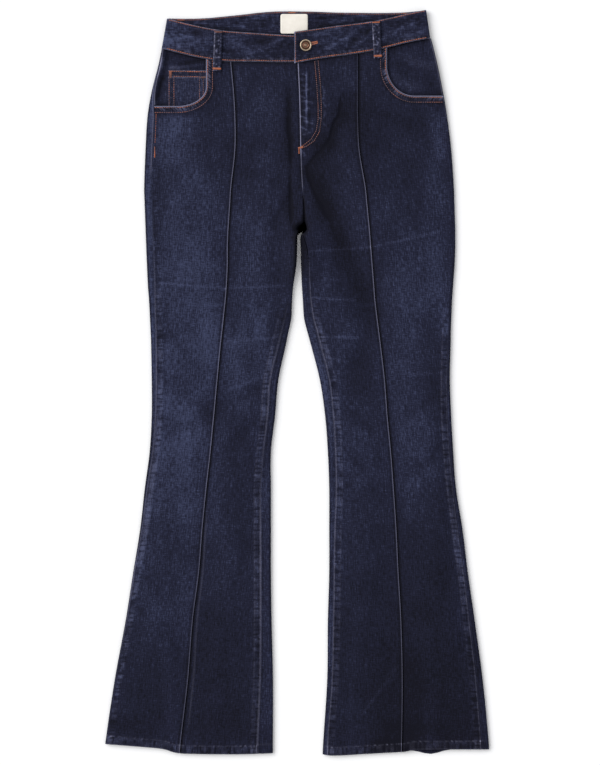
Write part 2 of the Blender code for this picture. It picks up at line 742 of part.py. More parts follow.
def button(finish, group):
    """A tack button: a dished cap on a shank, turned about its own axis."""
    foot = WAIST_LIFT + 2 * BAND_FOLD_RADIUS + GAP
    under_cap = foot + BAND + GAP
    profile = (
        (0.0, under_cap + 2.4),
        (5.2, under_cap + 2.0),
        (6.3, under_cap + 2.1),
        (7.2, under_cap + 3.0),
        (8.1, under_cap + 2.8),
        (BUTTON_RADIUS, under_cap + 1.7),
        (8.0, under_cap + 0.5),
        (6.0, under_cap),
        (SHANK_RADIUS, under_cap),
        (SHANK_RADIUS, foot + 0.6),
        (FOOT_RADIUS, foot + 0.4),
        (FOOT_RADIUS, foot),
        (0.0, foot),
    )
    mesh = bpy.data.meshes.new("button")
    mesh.from_pydata([(r * MM, 0, z * MM) for r, z in profile], [(i, i + 1) for i in range(len(profile) - 1)], [])
    made = add("button", mesh, finish, group)
    made.location = point(*BUTTON_AT, 0)
    turn = made.modifiers.new("turn", "SCREW")
    turn.steps = turn.render_steps = 28
    turn.use_merge_vertices = True
    turn.merge_threshold = 0.00001
    return made


# ---- the whole garment


def belt_loop(loop, finish, group):
    """A narrow strap over the waistband, sewn down at both ends."""
    rows, columns = 7, 3
    leaning = math.atan2(loop.across_bottom - loop.across_top, loop.bottom - loop.top)

    def place(column, row):
        share = row / (rows - 1)
        off = (column / (columns - 1) - 0.5) * LOOP_WIDTH
        across = mix(loop.across_top, loop.across_bottom, share) + off * math.cos(leaning)
        down = mix(loop.top, loop.bottom, share) - off * math.sin(leaning)
        if loop.over:
            over_band = WAIST_LIFT + 2 * BAND_FOLD_RADIUS + GAP + LOOP_PLY
            return point(across, down, over_band + LOOP_ARCH * math.sin(math.pi * share))
        return point(across, down, 0.0)

    return sheet(loop.name, columns, rows, place, LOOP_PLY, finish, group, flip=not loop.over)


def beside_fly(box):
    """A piece's box, measured from the fly's edge half-way down it."""
    low, high, top, bottom = box
    edge = LEG[-1]["inner"]((top + bottom) / 2)
    return low + edge, high + edge, top, bottom


def main():
    for old in list(bpy.data.objects):
        bpy.data.objects.remove(old)
    jeans = bpy.data.collections.new("flared_jeans")
    cutters = bpy.data.collections.new("cutters")
    bpy.context.scene.collection.children.link(jeans)
    bpy.context.scene.collection.children.link(cutters)

    denim = material("denim", (0.030, 0.033, 0.062), 0.85)
    denim_back = material("denim_inside", (0.035, 0.036, 0.060), 0.88)
    brass = material("antique_brass", (0.30, 0.21, 0.12), 0.42, 0.9)
    zip_tape = material("zip_tape", (0.02, 0.02, 0.03), 0.8)
    zip_metal = material("zip_metal", (0.35, 0.26, 0.15), 0.4, 0.9)
    woven = material("woven_label", (0.80, 0.76, 0.70), 0.8)

    for side in (-1, 1):
        front_outer(side, denim, jeans, cutters)
        front_inner(side, denim, jeans)
        back(side, denim, jeans)
        facing(side, denim_back, jeans)
    band_front(-1, denim, jeans)
    overlap = band_front(1, denim, jeans)
    cut(overlap, buttonhole_cutter(), cutters)
    band_back(denim, jeans)
    for loop in LOOPS:
        belt_loop(loop, denim, jeans)

    patch("coin_pocket", COIN, lambda x, d: lift(d) + COIN_LEVEL, DENIM, denim_back, jeans, rows=6)
    patch("fly_shield", beside_fly(SHIELD), lambda x, d: lift(d) + SHIELD_LEVEL, DENIM, denim_back, jeans, rows=8)
    patch("zip_tape", beside_fly(ZIP_TAPE), lambda x, d: lift(d) + TAPE_LEVEL, TAPE_PLY, zip_tape, jeans, rows=8)
    patch("zip_chain", beside_fly(ZIP_CHAIN), lambda x, d: lift(d) + CHAIN_LEVEL, CHAIN_PLY, zip_metal, jeans, rows=8)
    label_top = WAIST_LIFT + BAND + GAP + LABEL_PLY
    patch("label", LABEL, lambda x, d: label_top, LABEL_PLY, woven, jeans)
    button(brass, jeans)


main()
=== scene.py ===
"""Flared jeans laid flat, front up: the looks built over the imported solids.

Metres, in the frame of the solids: +X to the wearer's left, +Y to the waist, +Z up. Tables are in
millimetres: "down" from the highest point of the waistband, the other columns across from the middle line.
The wearer's right leg is at -X, and "side" is -1 for right and 1 for left.
"""

import math
from collections import namedtuple

import bmesh
import bpy
from mathutils import Matrix, Vector, noise
from mathutils.bvhtree import BVHTree


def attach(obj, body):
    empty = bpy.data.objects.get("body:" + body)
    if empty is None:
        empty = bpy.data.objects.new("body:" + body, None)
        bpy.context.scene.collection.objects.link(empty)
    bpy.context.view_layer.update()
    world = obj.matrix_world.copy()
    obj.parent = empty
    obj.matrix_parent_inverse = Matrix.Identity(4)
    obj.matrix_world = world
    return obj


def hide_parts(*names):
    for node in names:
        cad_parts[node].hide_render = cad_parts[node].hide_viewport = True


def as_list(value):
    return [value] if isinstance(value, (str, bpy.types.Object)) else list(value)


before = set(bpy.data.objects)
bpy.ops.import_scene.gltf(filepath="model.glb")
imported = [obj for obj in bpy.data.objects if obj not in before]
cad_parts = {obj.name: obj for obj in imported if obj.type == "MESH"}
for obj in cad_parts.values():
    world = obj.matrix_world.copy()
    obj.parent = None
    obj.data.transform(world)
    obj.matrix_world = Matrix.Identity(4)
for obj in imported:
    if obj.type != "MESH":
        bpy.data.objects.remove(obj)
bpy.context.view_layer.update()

# ---- The surface, the light and the camera
# A plain white paper sheet under a large soft light from the left, with the camera straight above.

MM = 0.001
LENGTH = 1088.0  # waistband to hem


def colour(code):
    """An sRGB hex colour as linear red, green, blue and alpha."""
    parts = [int(code[i : i + 2], 16) / 255 for i in (1, 3, 5)]
    return (*[c / 12.92 if c <= 0.04045 else ((c + 0.055) / 1.055) ** 2.4 for c in parts], 1.0)


def plug(tree, made, inputs):
    """Gives each of a node's sockets, by name or number, a value or the socket that feeds it."""
    for name, value in inputs.items():
        if isinstance(value, bpy.types.NodeSocket):
            tree.links.new(value, made.inputs[name])
        else:
            made.inputs[name].default_value = value


def node(tree, kind, inputs=None, **settings):
    """Adds a shader node with its settings and inputs."""
    made = tree.nodes.new("ShaderNode" + kind)
    for name, value in settings.items():
        setattr(made, name, value)
    plug(tree, made, inputs or {})
    return made


def new_material(name):
    """An empty material with its shader and output, as (material, tree, shader)."""
    made = bpy.data.materials.new(name)
    made.use_nodes = True
    tree = made.node_tree
    tree.nodes.clear()
    shader = node(tree, "BsdfPrincipled")
    node(tree, "OutputMaterial", {"Surface": shader.outputs[0]})
    return made, tree, shader


def finished(name, shape, finish, smooth=True):
    """An object at the origin with that mesh and material, from a bmesh that is then freed."""
    mesh = bpy.data.meshes.new(name)
    for face in shape.faces:
        face.smooth = smooth
    shape.to_mesh(mesh)
    shape.free()
    mesh.materials.append(finish)
    made = bpy.data.objects.new(name, mesh)
    bpy.context.scene.collection.objects.link(made)
    return made


FLOOR_SIZE, FLOOR_LEVEL = 8.0, -0.0002
CAMERA_HEIGHT, CAMERA_ACROSS = 4.0, 0.0044
VIEW_LENGTH = 1.1169  # of the surface, along the picture's long side
SENSOR = 36.0

# White matt paper: a rough dielectric with a faint cloudiness.
paper, tree, shader = new_material("matt_white_paper")
place = node(tree, "TexCoord")
cloud = node(tree, "TexNoise", {"Vector": place.outputs["Object"], "Scale": 1.5, "Detail": 2.0})
shades = {"Factor": cloud.outputs["Fac"], "A": colour("#fbfafa"), "B": colour("#fdfdfc")}
tint = node(tree, "Mix", shades, data_type="RGBA")
plug(tree, shader, {"Base Color": tint.outputs["Result"], "Roughness": 0.9, "Specular IOR Level": 0.1})

shape = bmesh.new()
floor_at = Matrix.Translation((0, 0, FLOOR_LEVEL))
bmesh.ops.create_grid(shape, x_segments=1, y_segments=1, size=FLOOR_SIZE / 2, matrix=floor_at)
floor = finished("surface", shape, paper, smooth=False)

world = bpy.data.worlds.new("white_studio")
bpy.context.scene.world = world
world.use_nodes = True
sky = world.node_tree.nodes["Background"]
plug(world.node_tree, sky, {"Color": colour("#fbfcff"), "Strength": 0.68})


def lamp(name, kind, energy, place, aim, **settings):
    data = bpy.data.lights.new(name, kind)
    data.energy = energy
    for key, value in settings.items():
        setattr(data, key, value)
    made = bpy.data.objects.new(name, data)
    made.location = place
    made.rotation_euler = (Vector(aim) - Vector(place)).to_track_quat("-Z", "Y").to_euler()
    bpy.context.scene.collection.objects.link(made)


lamp("window_side", "SUN", 2.35, (-2.2, 0.9, 1.7), (0, 0, 0), angle=math.radians(50))

camera_data = bpy.data.cameras.new("camera")
camera_data.sensor_width = SENSOR
camera_data.lens = SENSOR * CAMERA_HEIGHT / VIEW_LENGTH
camera_data.clip_start, camera_data.clip_end = 0.1, 50
camera = bpy.data.objects.new("camera", camera_data)
camera.location = (CAMERA_ACROSS, 0.0, CAMERA_HEIGHT)
bpy.context.scene.collection.objects.link(camera)
bpy.context.scene.camera = camera
bpy.context.scene.view_settings.view_transform = "Standard"

# ---- The leg panels
# Six panels of stretch denim, 1.1 mm: two fronts to a leg, joined down its middle, and a back that wraps
# round both sides of the leg to seams on top. The seams are felled and pressed, so they rope and wear.

GAP = 0.3
SEAM_GAP = 0.1  # between the cloths of a seam, where the solids keep a GAP
DENIM = 1.1
FOLD_RADIUS = 2.7  # outer radius where a leg folds over at its sides
WAIST_LIFT = 2.3  # the back waistband lies on its loops
LIFT_ENDS = (75.0, 175.0)  # where that lift falls to nothing
CROTCH = 321.0
CROTCH_RAMP = 10.0  # the inner side of a leg rounds up over this distance below the crotch
CROTCH_FLAT = 20  # at the crotch the cloth is as flat as this far in from a leg's side
CROTCH_SWELL = 1.35
SWELL = (5, 20, 22, 34.0, 60.0)  # its middle across and below the crotch, half width, reach up and down
SHADE_FROM, SHADE_TO, SHADE_WIDE = 335, 410, 3.7  # the dark gap between the legs
WAIST_ROW, HEM_ROW = 77.0, 1086.0  # the first and last row of a panel
FLAT_FROM, HEM_FLAT_TO = 230.0, 1030.0  # between these the rows run level
HEM_DEPTH, HEM_RISE = 13.0, 0.8
QUARTER = math.pi / 2 * FOLD_RADIUS


def table(kind, *rows):
    """Rows with named columns."""
    return [kind(*row) for row in rows]


# A leg's outline and seams. Above the crotch, inner and inseam are the centre front and centre back seam.
Section = namedtuple("Section", "down outer outseam crease inseam inner")
RIGHT_LEG = table(
    Section,
    (40, -194, -193, -98, 0, 0), (76, -201, -199, -96, 1, 1), (120, -212, -208, -92, 3, 3),
    (155, -218, -208, -90, 4, 4), (204, -221, -210, -90, 5, 5), (260, -223, -212, -96, 7.5, 7.5),
    (282, -222.4, -211.4, -97.4, 10, 10), (320, -221, -210, -99.9, 10.6, 10.6),
    (321, -221, -210, -100, 10.6, 10.6), (326, -220.8, -209.8, -100.2, 3.8, 4.2),
    (331, -220.6, -209.6, -100.4, 0, 0.8), (347, -220, -209, -101, -1, 0.4),
    (372, -219, -208, -101, -2.4, -0.8), (405, -217.4, -207, -102.6, -8, -5.6),
    (423, -216, -207, -104, -12.5, -7), (450, -214.6, -206.2, -106.8, -18, -8.2),
    (467, -213.8, -205.6, -108.6, -22, -11.8), (488, -213, -205, -111, -27, -16),
    (540, -212, -205, -116, -39, -27), (593, -212, -206, -121, -43, -32), (645, -215, -210, -126, -49, -38),
    (698, -222, -218, -132, -53, -38), (759, -229, -226, -138, -53, -38), (821, -239, -237, -143, -53, -38),
    (891, -250, -248, -152, -53, -37), (978, -266, -264, -159, -54, -35), (1072, -280, -278, -170, -58, -35),
    (1095, -282, -280, -172, -58, -35),
)  # fmt: skip
LEFT_LEG = table(
    Section,
    (40, 195, 194, 89, 0, 0), (76, 204, 203, 89, 1, 1), (120, 213, 212, 89, 3, 3), (155, 219, 218, 89, 4, 4),
    (204, 225, 223, 91, 5, 5), (260, 229, 227, 100, 7.5, 7.5), (282, 229.7, 227.4, 102.2, 10, 10),
    (320, 231, 228, 105.9, 10.6, 10.6), (321, 231, 228, 106, 10.6, 10.6), (326, 231, 228, 106.4, 9.6, 4.5),
    (331, 231, 228, 106.8, 9.4, 4.6), (347, 231, 228, 108, 14, 5.4), (372, 230, 227, 110, 17, 5.8),
    (405, 227.6, 224.6, 112.6, 18.6, 7.2), (423, 226.4, 223.4, 114, 20, 8.4),
    (450, 225.2, 222.2, 117.2, 24, 10.2), (467, 224.6, 221.6, 119.4, 28.6, 14.2),
    (488, 224.2, 220.8, 122, 34, 20), (540, 223, 219.6, 128, 47, 33.2), (593, 225, 220, 132, 53, 41),
    (645, 228, 223, 137, 56, 45), (698, 232, 228, 141, 57, 47), (759, 241.6, 235.4, 145, 55, 47),
    (821, 249.3, 243.8, 148, 54, 47), (891, 259.3, 251.8, 152, 53, 45), (978, 271, 261.6, 154, 51, 44),
    (1072, 280, 269, 153, 44, 38), (1095, 280, 270, 152, 44, 37),
)  # fmt: skip
# The waistband's top and bottom edges, as down. The panels begin at its bottom edge.
Band = namedtuple("Band", "across top bottom")
BANDS = {
    -1: table(
        Band,
        (-198, 13, 57), (-190, 13.5, 59), (-159, 21, 67), (-126, 28, 73.5), (-102, 31.5, 76),
        (-61, 34.5, 76.5), (-4, 38, 77), (20, 37, 73.6), (40, 33, 70),
    ),
    1: table(
        Band,
        (-4, 33, 79), (32, 28, 72.5), (70, 22.6, 67), (109, 17.5, 61), (143, 10.5, 53), (159, 6.7, 49),
        (190, 0.5, 43), (198, 0, 42),
    ),
    0: table(
        Band,
        (-198, 13, 57), (-142, 13, 52.5), (-95, 9, 48), (-36, 3, 42.5), (22, 3, 42), (63, 4.4, 43),
        (150, 4.4, 43.5), (198, 0, 42),
    ),
}  # fmt: skip
# The hem's edge, as down, with the small dips that it lies in.
Edge = namedtuple("Edge", "across down")
HEMS = {
    -1: table(
        Edge,
        (-282, 1071), (-224, 1075.5), (-195, 1078.5), (-176, 1084), (-150, 1085.5), (-87, 1086),
        (-34, 1084.5),
    ),
    1: table(
        Edge,
        (36, 1086), (52, 1088), (100, 1085.5), (150, 1082.8), (158, 1082.2), (170, 1079.6), (200, 1079),
        (282, 1079),
    ),
}  # fmt: skip
HEM_PEEP = (194.0, 20.0, 7.0)  # the left back hem shows below the front: middle across, half width, depth

# Soft folds: a ridge, or a trough where rise is negative, from one end to the other.
Fold = namedtuple("Fold", "across_a down_a across_b down_b half_width rise")
FOLDS = table(
    Fold,
    (24, 241, 104, 416, 17, -1.7), (22, 330, 70, 470, 24, 3.0), (78, 215, 160, 430, 34, 3.4),
    (74, 132, 56, 196, 11, -1.0), (112, 445, 76, 548, 15, -1.5), (-12, 112, -11, 190, 6, -0.9),
    (-158, 250, -152, 480, 42, 2.6), (-48, 260, -62, 467, 24, 2.4), (-193, 533, -127, 591, 12, -1.3),
    (-127, 591, -60, 556, 12, -1.1), (-176, 686, -214, 920, 30, 1.8), (-92, 690, -104, 950, 24, 1.6),
    (186, 600, 212, 920, 28, 2.0), (92, 620, 98, 950, 24, 1.6), (2, 326, 11, 318, 10, -2.2),
    (190, 1070, 190, 1090, 20, 1.8),
)  # fmt: skip
# Deep narrow creases beside the fly: places along each, the half width of its steep left side, and its depth.
Crease = namedtuple("Crease", "across down half_width depth")
GROOVES = (
    table(
        Crease,
        (-11.6, 112, 4.2, 0.0), (-11.7, 134, 4.4, 0.5), (-11.7, 160, 4.4, 0.6), (-11.4, 178, 3.6, 0.7),
        (-9.0, 189, 2.6, 1.05), (-8.6, 213, 2.6, 1.1), (-9.2, 226, 2.2, 0.4), (-10.0, 240, 2.2, 0.4),
        (-10.2, 254, 2.2, 0.9), (-9.6, 276, 2.6, 1.1), (-8.6, 300, 2.8, 1.0), (-8.2, 311, 2.8, 0.4),
        (-2.0, 320, 3.0, 0.5),
    ),
    table(
        Crease,
        (66.0, 120, 3.0, 0.0), (64.2, 131, 2.6, 0.35), (61.3, 155, 2.5, 1.05), (54.0, 166, 2.6, 1.15),
        (51.1, 178, 2.6, 1.15), (48.2, 190, 2.5, 1.05), (39.4, 201.5, 2.3, 0.75), (27.7, 213, 2.6, 1.0),
        (15.4, 228, 2.2, 0.6), (16.1, 236.5, 2.4, 0.6), (19.0, 248, 2.6, 0.7), (23.4, 260, 3.0, 0.8),
        (28.5, 271.6, 3.4, 0.9), (36.5, 283, 4.2, 0.95), (42.8, 295, 4.6, 0.75), (48.0, 307, 4.6, 0.32),
        (56.9, 330, 3.6, 0.12), (74.5, 353, 3.2, 0.08), (86.1, 388, 3.0, 0.0),
    ),
)  # fmt: skip
GROOVE_DEEP, GROOVE_SHADE = 1.5, 0.52  # height and painted shade where a crease is deepest
GROOVE_TAIL = 11.0  # how far its right side reaches
# Thin lines pressed in by wear and washing, rubbed paler than the cloth round them.
PRESSED = table(
    Fold,
    # across the thighs and knees
    (-200, 399, -105, 407, 1.8, 0.5), (-105, 407, -18, 403, 1.8, 0.5), (-105, 485, -32, 479, 2.4, 0.4),
    (-101, 555, -42, 533, 2.2, 0.3), (19, 353, 107, 347, 1.7, 0.6), (107, 347, 209, 324, 1.7, 0.6),
    (22, 421, 85, 424, 1.8, 0.6), (36, 477, 90, 479, 1.8, 0.6), (48, 508, 70, 514, 1.8, 0.6),
    (165, 533, 209, 530, 2.6, 0.4),
    # left flare and right hip
    (95, 1029, 146, 959, 2.6, 0.4), (-222, 228, -211, 233, 2.0, 0.9),
    # across the fly, over the zip
    (6, 94, 12, 96, 1.5, 1.1), (6, 103, 11, 102, 1.5, 1.3), (8, 111, 12, 113, 1.4, 1.0),
    (7, 119, 20, 116, 1.6, 1.0), (6, 127, 11, 129, 1.6, 1.3), (7, 134, 23, 136, 1.6, 1.1),
    (9, 148, 18, 144, 1.5, 1.1), (6, 156, 11, 158, 1.6, 1.3), (10, 163, 24, 167, 1.6, 1.1),
    (7, 172, 14, 176, 1.6, 1.3), (9, 183, 19, 180, 1.5, 1.2),
    # beside the fly's stitches and at its foot
    (37, 112, 40, 120, 1.6, 0.8), (40, 122, 38, 131, 1.5, 0.9), (38, 136, 42, 142, 1.6, 0.8),
    (41, 148, 39, 158, 1.6, 0.8), (38, 166, 42, 170, 1.5, 0.8), (8, 207, 14, 214, 1.6, 0.8),
)  # fmt: skip
# Soft creases smaller than the folds above.
CREASES = table(
    Fold,
    # round the crotch and hips, the first on the right thigh
    (-190, 352, -150, 360, 5.0, -0.4), (12, 236, 40, 262, 7, -0.9), (-2, 262, -34, 312, 7, -0.8),
    (-30, 250, -80, 236, 9, -0.7), (40, 190, 70, 214, 7, -0.7), (-40, 214, -84, 196, 8, 0.5),
    (120, 150, 166, 170, 9, -0.7), (-150, 168, -190, 214, 10, -0.6), (176, 156, 214, 240, 9, -0.6),
    (-60, 100, -84, 150, 8, -0.5), (60, 96, 84, 128, 7, -0.6),
    # knees
    (-196, 470, -160, 500, 9, -0.7), (-190, 620, -150, 604, 9, -0.7), (-66, 604, -96, 640, 9, -0.6),
    (72, 585, 110, 612, 8, -0.8), (206, 560, 168, 586, 9, -0.8), (66, 640, 96, 668, 8, -0.6),
    (210, 640, 176, 672, 9, -0.6),
    # flares
    (-226, 800, -196, 860, 10, -0.5), (-70, 780, -92, 850, 9, -0.5), (-190, 930, -176, 1060, 12, 0.7),
    (-120, 900, -124, 1070, 12, 0.5), (226, 800, 206, 880, 10, -0.5), (190, 900, 196, 1070, 12, 0.7),
    (90, 880, 84, 1066, 12, 0.5),
)  # fmt: skip
# Where the dye has washed out, and, where negative, darker: partly dye that stayed dark, partly painted shade
# in folds, round the crotch and along the left hem. Most on the thighs and knees.
WASHES_AND_SHADE = table(
    Fold,
    # broad, down each leg
    (-158, 290, -160, 600, 50, 0.20), (-175, 640, -205, 820, 36, 0.06), (-60, 300, -76, 450, 32, 0.08),
    (-75, 480, -95, 820, 32, 0.06), (60, 340, 92, 640, 36, 0.08), (165, 240, 178, 640, 42, 0.10),
    (-175, 940, -185, 1080, 70, -0.05), (-90, 900, -90, 1080, 50, -0.05), (95, 860, 95, 1080, 60, -0.09),
    (215, 740, 240, 1080, 60, -0.18),
    # patches
    (-190, 170, -192, 210, 22, 0.28), (-165, 166, -168, 176, 20, 0.14), (-52, 96, -50, 168, 20, 0.10),
    (-160, 150, -158, 240, 20, 0.10), (-88, 96, -88, 168, 20, 0.10), (-86, 226, -88, 300, 18, 0.11),
    (-50, 226, -50, 250, 18, 0.10), (-15, 196, -15, 212, 10, -0.16), (40, 168, 42, 240, 16, -0.10),
    (58, 338, 60, 372, 14, -0.16), (26, 344, 28, 380, 12, -0.14), (95, 410, 95, 436, 18, -0.11),
    (-124, 400, -124, 440, 20, -0.14), (-15, 446, -14, 472, 12, -0.12), (-52, 556, -50, 606, 14, -0.12),
    (-124, 520, -124, 545, 16, 0.08), (-160, 520, -160, 545, 16, -0.08), (131, 526, 131, 576, 18, 0.09),
    (204, 530, 206, 590, 14, -0.10), (-124, 640, -126, 756, 18, 0.11), (-162, 740, -162, 770, 18, 0.11),
    (-88, 740, -88, 770, 18, -0.08), (-196, 850, -198, 880, 18, 0.08), (-124, 1030, -124, 1060, 22, -0.09),
    (168, 126, 172, 136, 20, 0.06), (204, 165, 206, 410, 18, 0.15), (-162, 240, -158, 310, 20, -0.10),
    (-88, 200, -84, 280, 24, -0.13), (-50, 266, -52, 292, 18, -0.08), (92, 132, 98, 250, 22, -0.14),
    (166, 236, 170, 290, 22, -0.14), (131, 338, 128, 372, 24, -0.14), (-162, 420, -158, 462, 18, -0.12),
    (-124, 420, -122, 500, 18, 0.14), (-90, 492, -86, 572, 18, 0.18), (-52, 492, -50, 610, 18, 0.16),
    (58, 420, 60, 466, 18, -0.10), (60, 540, 56, 860, 16, 0.12), (95, 520, 96, 550, 20, -0.10),
    (168, 482, 170, 512, 20, 0.12), (-160, 566, -164, 716, 22, 0.17), (-86, 676, -88, 718, 20, -0.10),
    (168, 702, 170, 730, 20, 0.13), (204, 676, 208, 756, 18, 0.11), (-160, 820, -162, 900, 20, 0.12),
    (-124, 896, -122, 972, 22, -0.12), (130, 930, 134, 1046, 22, -0.08), (168, 960, 170, 1050, 22, -0.16),
    (240, 780, 244, 900, 16, 0.15), (-192, 490, -192, 580, 13, 0.14), (-195, 620, -206, 730, 13, 0.15),
    (-216, 780, -222, 810, 12, 0.07), (-118, 204, -112, 212, 14, 0.09), (-124, 380, -124, 392, 14, 0.13),
    (-14, 420, -14, 428, 10, 0.11), (-51, 452, -51, 468, 12, 0.10), (-50, 634, -51, 650, 12, 0.12),
    (-52, 815, -52, 900, 10, 0.07), (100, 680, 166, 690, 18, 0.08), (204, 195, 206, 212, 12, 0.08),
    (-160, 860, -162, 930, 14, 0.07), (-161, 1074, -161, 1086, 16, 0.13), (204, 126, 204, 136, 12, -0.09),
    (8, 186, 30, 196, 10, -0.10), (58, 236, 58, 246, 12, -0.08), (22, 308, 22, 318, 10, -0.11),
    (204, 306, 204, 322, 12, -0.10), (95, 896, 95, 936, 14, -0.07), (204, 820, 204, 832, 14, -0.08),
    (-268, 1040, -236, 1048, 14, -0.10), (134, 1046, 202, 1050, 14, -0.15),
    (-88, 1036, -78, 1060, 14, -0.09), (214, 440, 214, 470, 10, 0.12), (58, 95, 95, 130, 16, 0.07),
    (34, 284, 42, 300, 13, -0.12), (-120, 170, -90, 200, 16, 0.05), (120, 1076, 172, 1078, 14, -0.34),
    (-88, 1000, -88, 1014, 14, -0.07), (-4, 296, 10, 352, 13, -0.13), (38, 215, 62, 400, 24, -0.05),
    (124, 1078, 208, 1078, 11, -0.16), (24, 92, 80, 112, 20, 0.06), (118, 192, 148, 212, 16, -0.06),
    (150, 470, 160, 650, 22, 0.045), (60, 724, 165, 738, 24, 0.045), (186, 870, 190, 1010, 18, -0.06),
    (225, 768, 231, 792, 12, 0.07), (-40, 408, -50, 450, 14, 0.05), (-200, 370, -202, 410, 13, 0.06),
    (-160, 428, -128, 458, 20, 0.045), (-160, 560, -158, 612, 15, -0.045), (-182, 760, -192, 822, 16, -0.05),
    (-162, 926, -158, 972, 16, 0.045), (-50, 1024, -52, 1058, 13, -0.07), (-205, 480, -203, 510, 11, -0.05),
    (-228, 810, -240, 880, 10, 0.06), (-262, 980, -270, 1020, 10, 0.08), (100, 930, 160, 1060, 50, -0.045),
    (-230, 1030, -110, 1040, 24, -0.045), (64, 330, 92, 450, 15, -0.06), (172, 496, 176, 534, 14, -0.05),
    (222, 715, 236, 800, 9, 0.10), (-219, 715, -240, 860, 8, 0.07), (214, 110, 219, 140, 9, -0.09),
    (-200, 268, -200, 322, 12, -0.06), (-200, 484, -198, 508, 12, -0.07), (-190, 672, -172, 722, 14, -0.06),
    (-51, 1030, -51, 1062, 12, -0.08), (36, 285, 45, 325, 12, -0.06), (72, 985, 74, 1020, 14, 0.05),
    (192, 880, 200, 930, 14, -0.05), (-215, 1060, -205, 1075, 12, -0.06), (-12, 165, -9, 200, 9, -0.07),
)  # fmt: skip
# On the underside a trough rises into the leg, because the cloth lies flat on the surface.
BACK_CREASES = table(
    Fold,
    (-20, 300, -90, 352, 9, 1.0), (-24, 326, -110, 400, 10, 1.2), (28, 300, 96, 350, 9, 1.1),
    (30, 330, 120, 396, 10, 1.0), (-200, 560, -130, 580, 8, 1.1), (-60, 580, -120, 604, 8, 1.0),
    (-190, 612, -140, 600, 7, 0.8), (64, 566, 130, 590, 8, 1.1), (210, 560, 150, 588, 8, 1.0),
    (80, 624, 140, 606, 7, 0.8), (-180, 200, -120, 240, 12, 0.8), (186, 210, 120, 236, 12, 0.8),
    (-200, 900, -190, 1060, 14, 0.9), (200, 900, 190, 1060, 14, 0.9),
)  # fmt: skip
RELIEF_FADE = 24.0  # folds grow from nothing over this distance from a leg's side
DEEPEST = 2.7  # the cloth lies on the back there, so no trough goes deeper

FLY_LIFT = DENIM + GAP
FLY_UNDERLAP = 5.0  # the right front reaches this far under the lap
FLY_ENDS = (182.0, 196.0)  # down, where that ends
FLY_LEVEL_ENDS = (197.0, 214.0)  # down, where the lap comes down to the other front's level
FLY_WIDTH = (36.0, 62.0)  # across, where it does
ZIP_RIDGE = (13.9, 4.5, 1.0, 92.0, 184.0)  # across, half width, rise, first and last down
ZIP_RIPPLE = 10.0  # pitch of the ripples over the zip
ZIP_RUB, ZIP_RUB_WITHIN = (88, 96, 166, 176), 24  # where it rubs the cloth: down, then how far across
FLY_WITHIN = (44, 206)  # across and down, of what the fly's stitches draw in
FLY_ROWS = (  # of stitches, as (across, down)
    ((25.9, 75.5), (29, 112), (30.8, 140), (31, 160), (28.2, 177), (20.5, 189.5), (10, 198), (5.5, 200)),
    ((30.8, 74.5), (34, 108), (35.4, 135), (35.5, 158), (33, 178), (25, 192), (13, 200.2), (5.5, 202)),
)


def smooth(t):
    t = min(max(t, 0.0), 1.0)
    return t * t * (3 - 2 * t)


def mix(a, b, t):
    return a + (b - a) * t


def bell(x, width):
    """1 at x = 0, falling away smoothly on both sides."""
    return math.exp(-((x / width) ** 2))


def uneven(x, y, z):
    """Smooth noise, about -1 to 1."""
    return noise.noise(Vector((x, y, z)))


def curve(rows, name):
    """A smooth function through the named column of a table, against the table's first column."""
    xs = [row[0] for row in rows]
    ys = [getattr(row, name) for row in rows]
    last = len(xs) - 1
    slopes = []
    for i in range(last + 1):
        low, high = max(i - 1, 0), min(i + 1, last)
        slopes.append((ys[high] - ys[low]) / (xs[high] - xs[low]))

    def value(x):
        x = min(max(x, xs[0]), xs[-1])
        i = next(k for k in range(last) if x <= xs[k + 1])
        width = xs[i + 1] - xs[i]
        t = (x - xs[i]) / width
        a = ys[i] * (1 + 2 * t) * (1 - t) ** 2 + ys[i + 1] * t * t * (3 - 2 * t)
        return a + width * (slopes[i] * t * (1 - t) ** 2 - slopes[i + 1] * t * t * (1 - t))

    return value


LEG = {
    side: {name: curve(rows, name) for name in Section._fields[1:]}
    for side, rows in ((-1, RIGHT_LEG), (1, LEFT_LEG))
}
BAND_TOP = {side: curve(rows, "top") for side, rows in BANDS.items()}  # side 0 is the back
WAIST_EDGE = {side: curve(rows, "bottom") for side, rows in BANDS.items()}
HEM = {side: curve(rows, "down") for side, rows in HEMS.items()}
WORD = {-1: "right", 1: "left"}


def back_hem(side):
    middle, half_width, depth = HEM_PEEP
    return lambda x: HEM[side](x) + (depth * bell(x - middle, half_width) if side > 0 else 0.0)


def point(across, down, height):
    return Vector((across, LENGTH / 2 - down, height)) * MM


def lift(down):
    start, end = LIFT_ENDS
    return WAIST_LIFT * (1 - smooth((down - start) / (end - start)))


def fold_inset(travel, radius=FOLD_RADIUS):
    """How far in from the outermost line a point lies. travel is the way to it over the cloth."""
    quarter = math.pi / 2 * radius
    turned = min(abs(travel), quarter) / radius
    return radius * (1 - math.cos(turned)) + max(abs(travel) - quarter, 0)


def fold_height(travel, radius=FOLD_RADIUS):
    turned = min(abs(travel), math.pi / 2 * radius) / radius
    return radius + math.copysign(radius * math.sin(turned), travel)


def fold_travel(inset, radius=FOLD_RADIUS):
    inset = max(inset, 0.0)
    if inset >= radius:
        return math.pi / 2 * radius + inset - radius
    return radius * math.acos(1 - inset / radius)


def nearest(ax, ay, bx, by, across, down):
    """How far along a line its nearest point to a place lies, from 0 to 1, and the way from it to there."""
    run, fall = bx - ax, by - ay
    along = ((across - ax) * run + (down - ay) * fall) / (run**2 + fall**2)
    along = min(max(along, 0.0), 1.0)
    return along, across - mix(ax, bx, along), down - mix(ay, by, along)


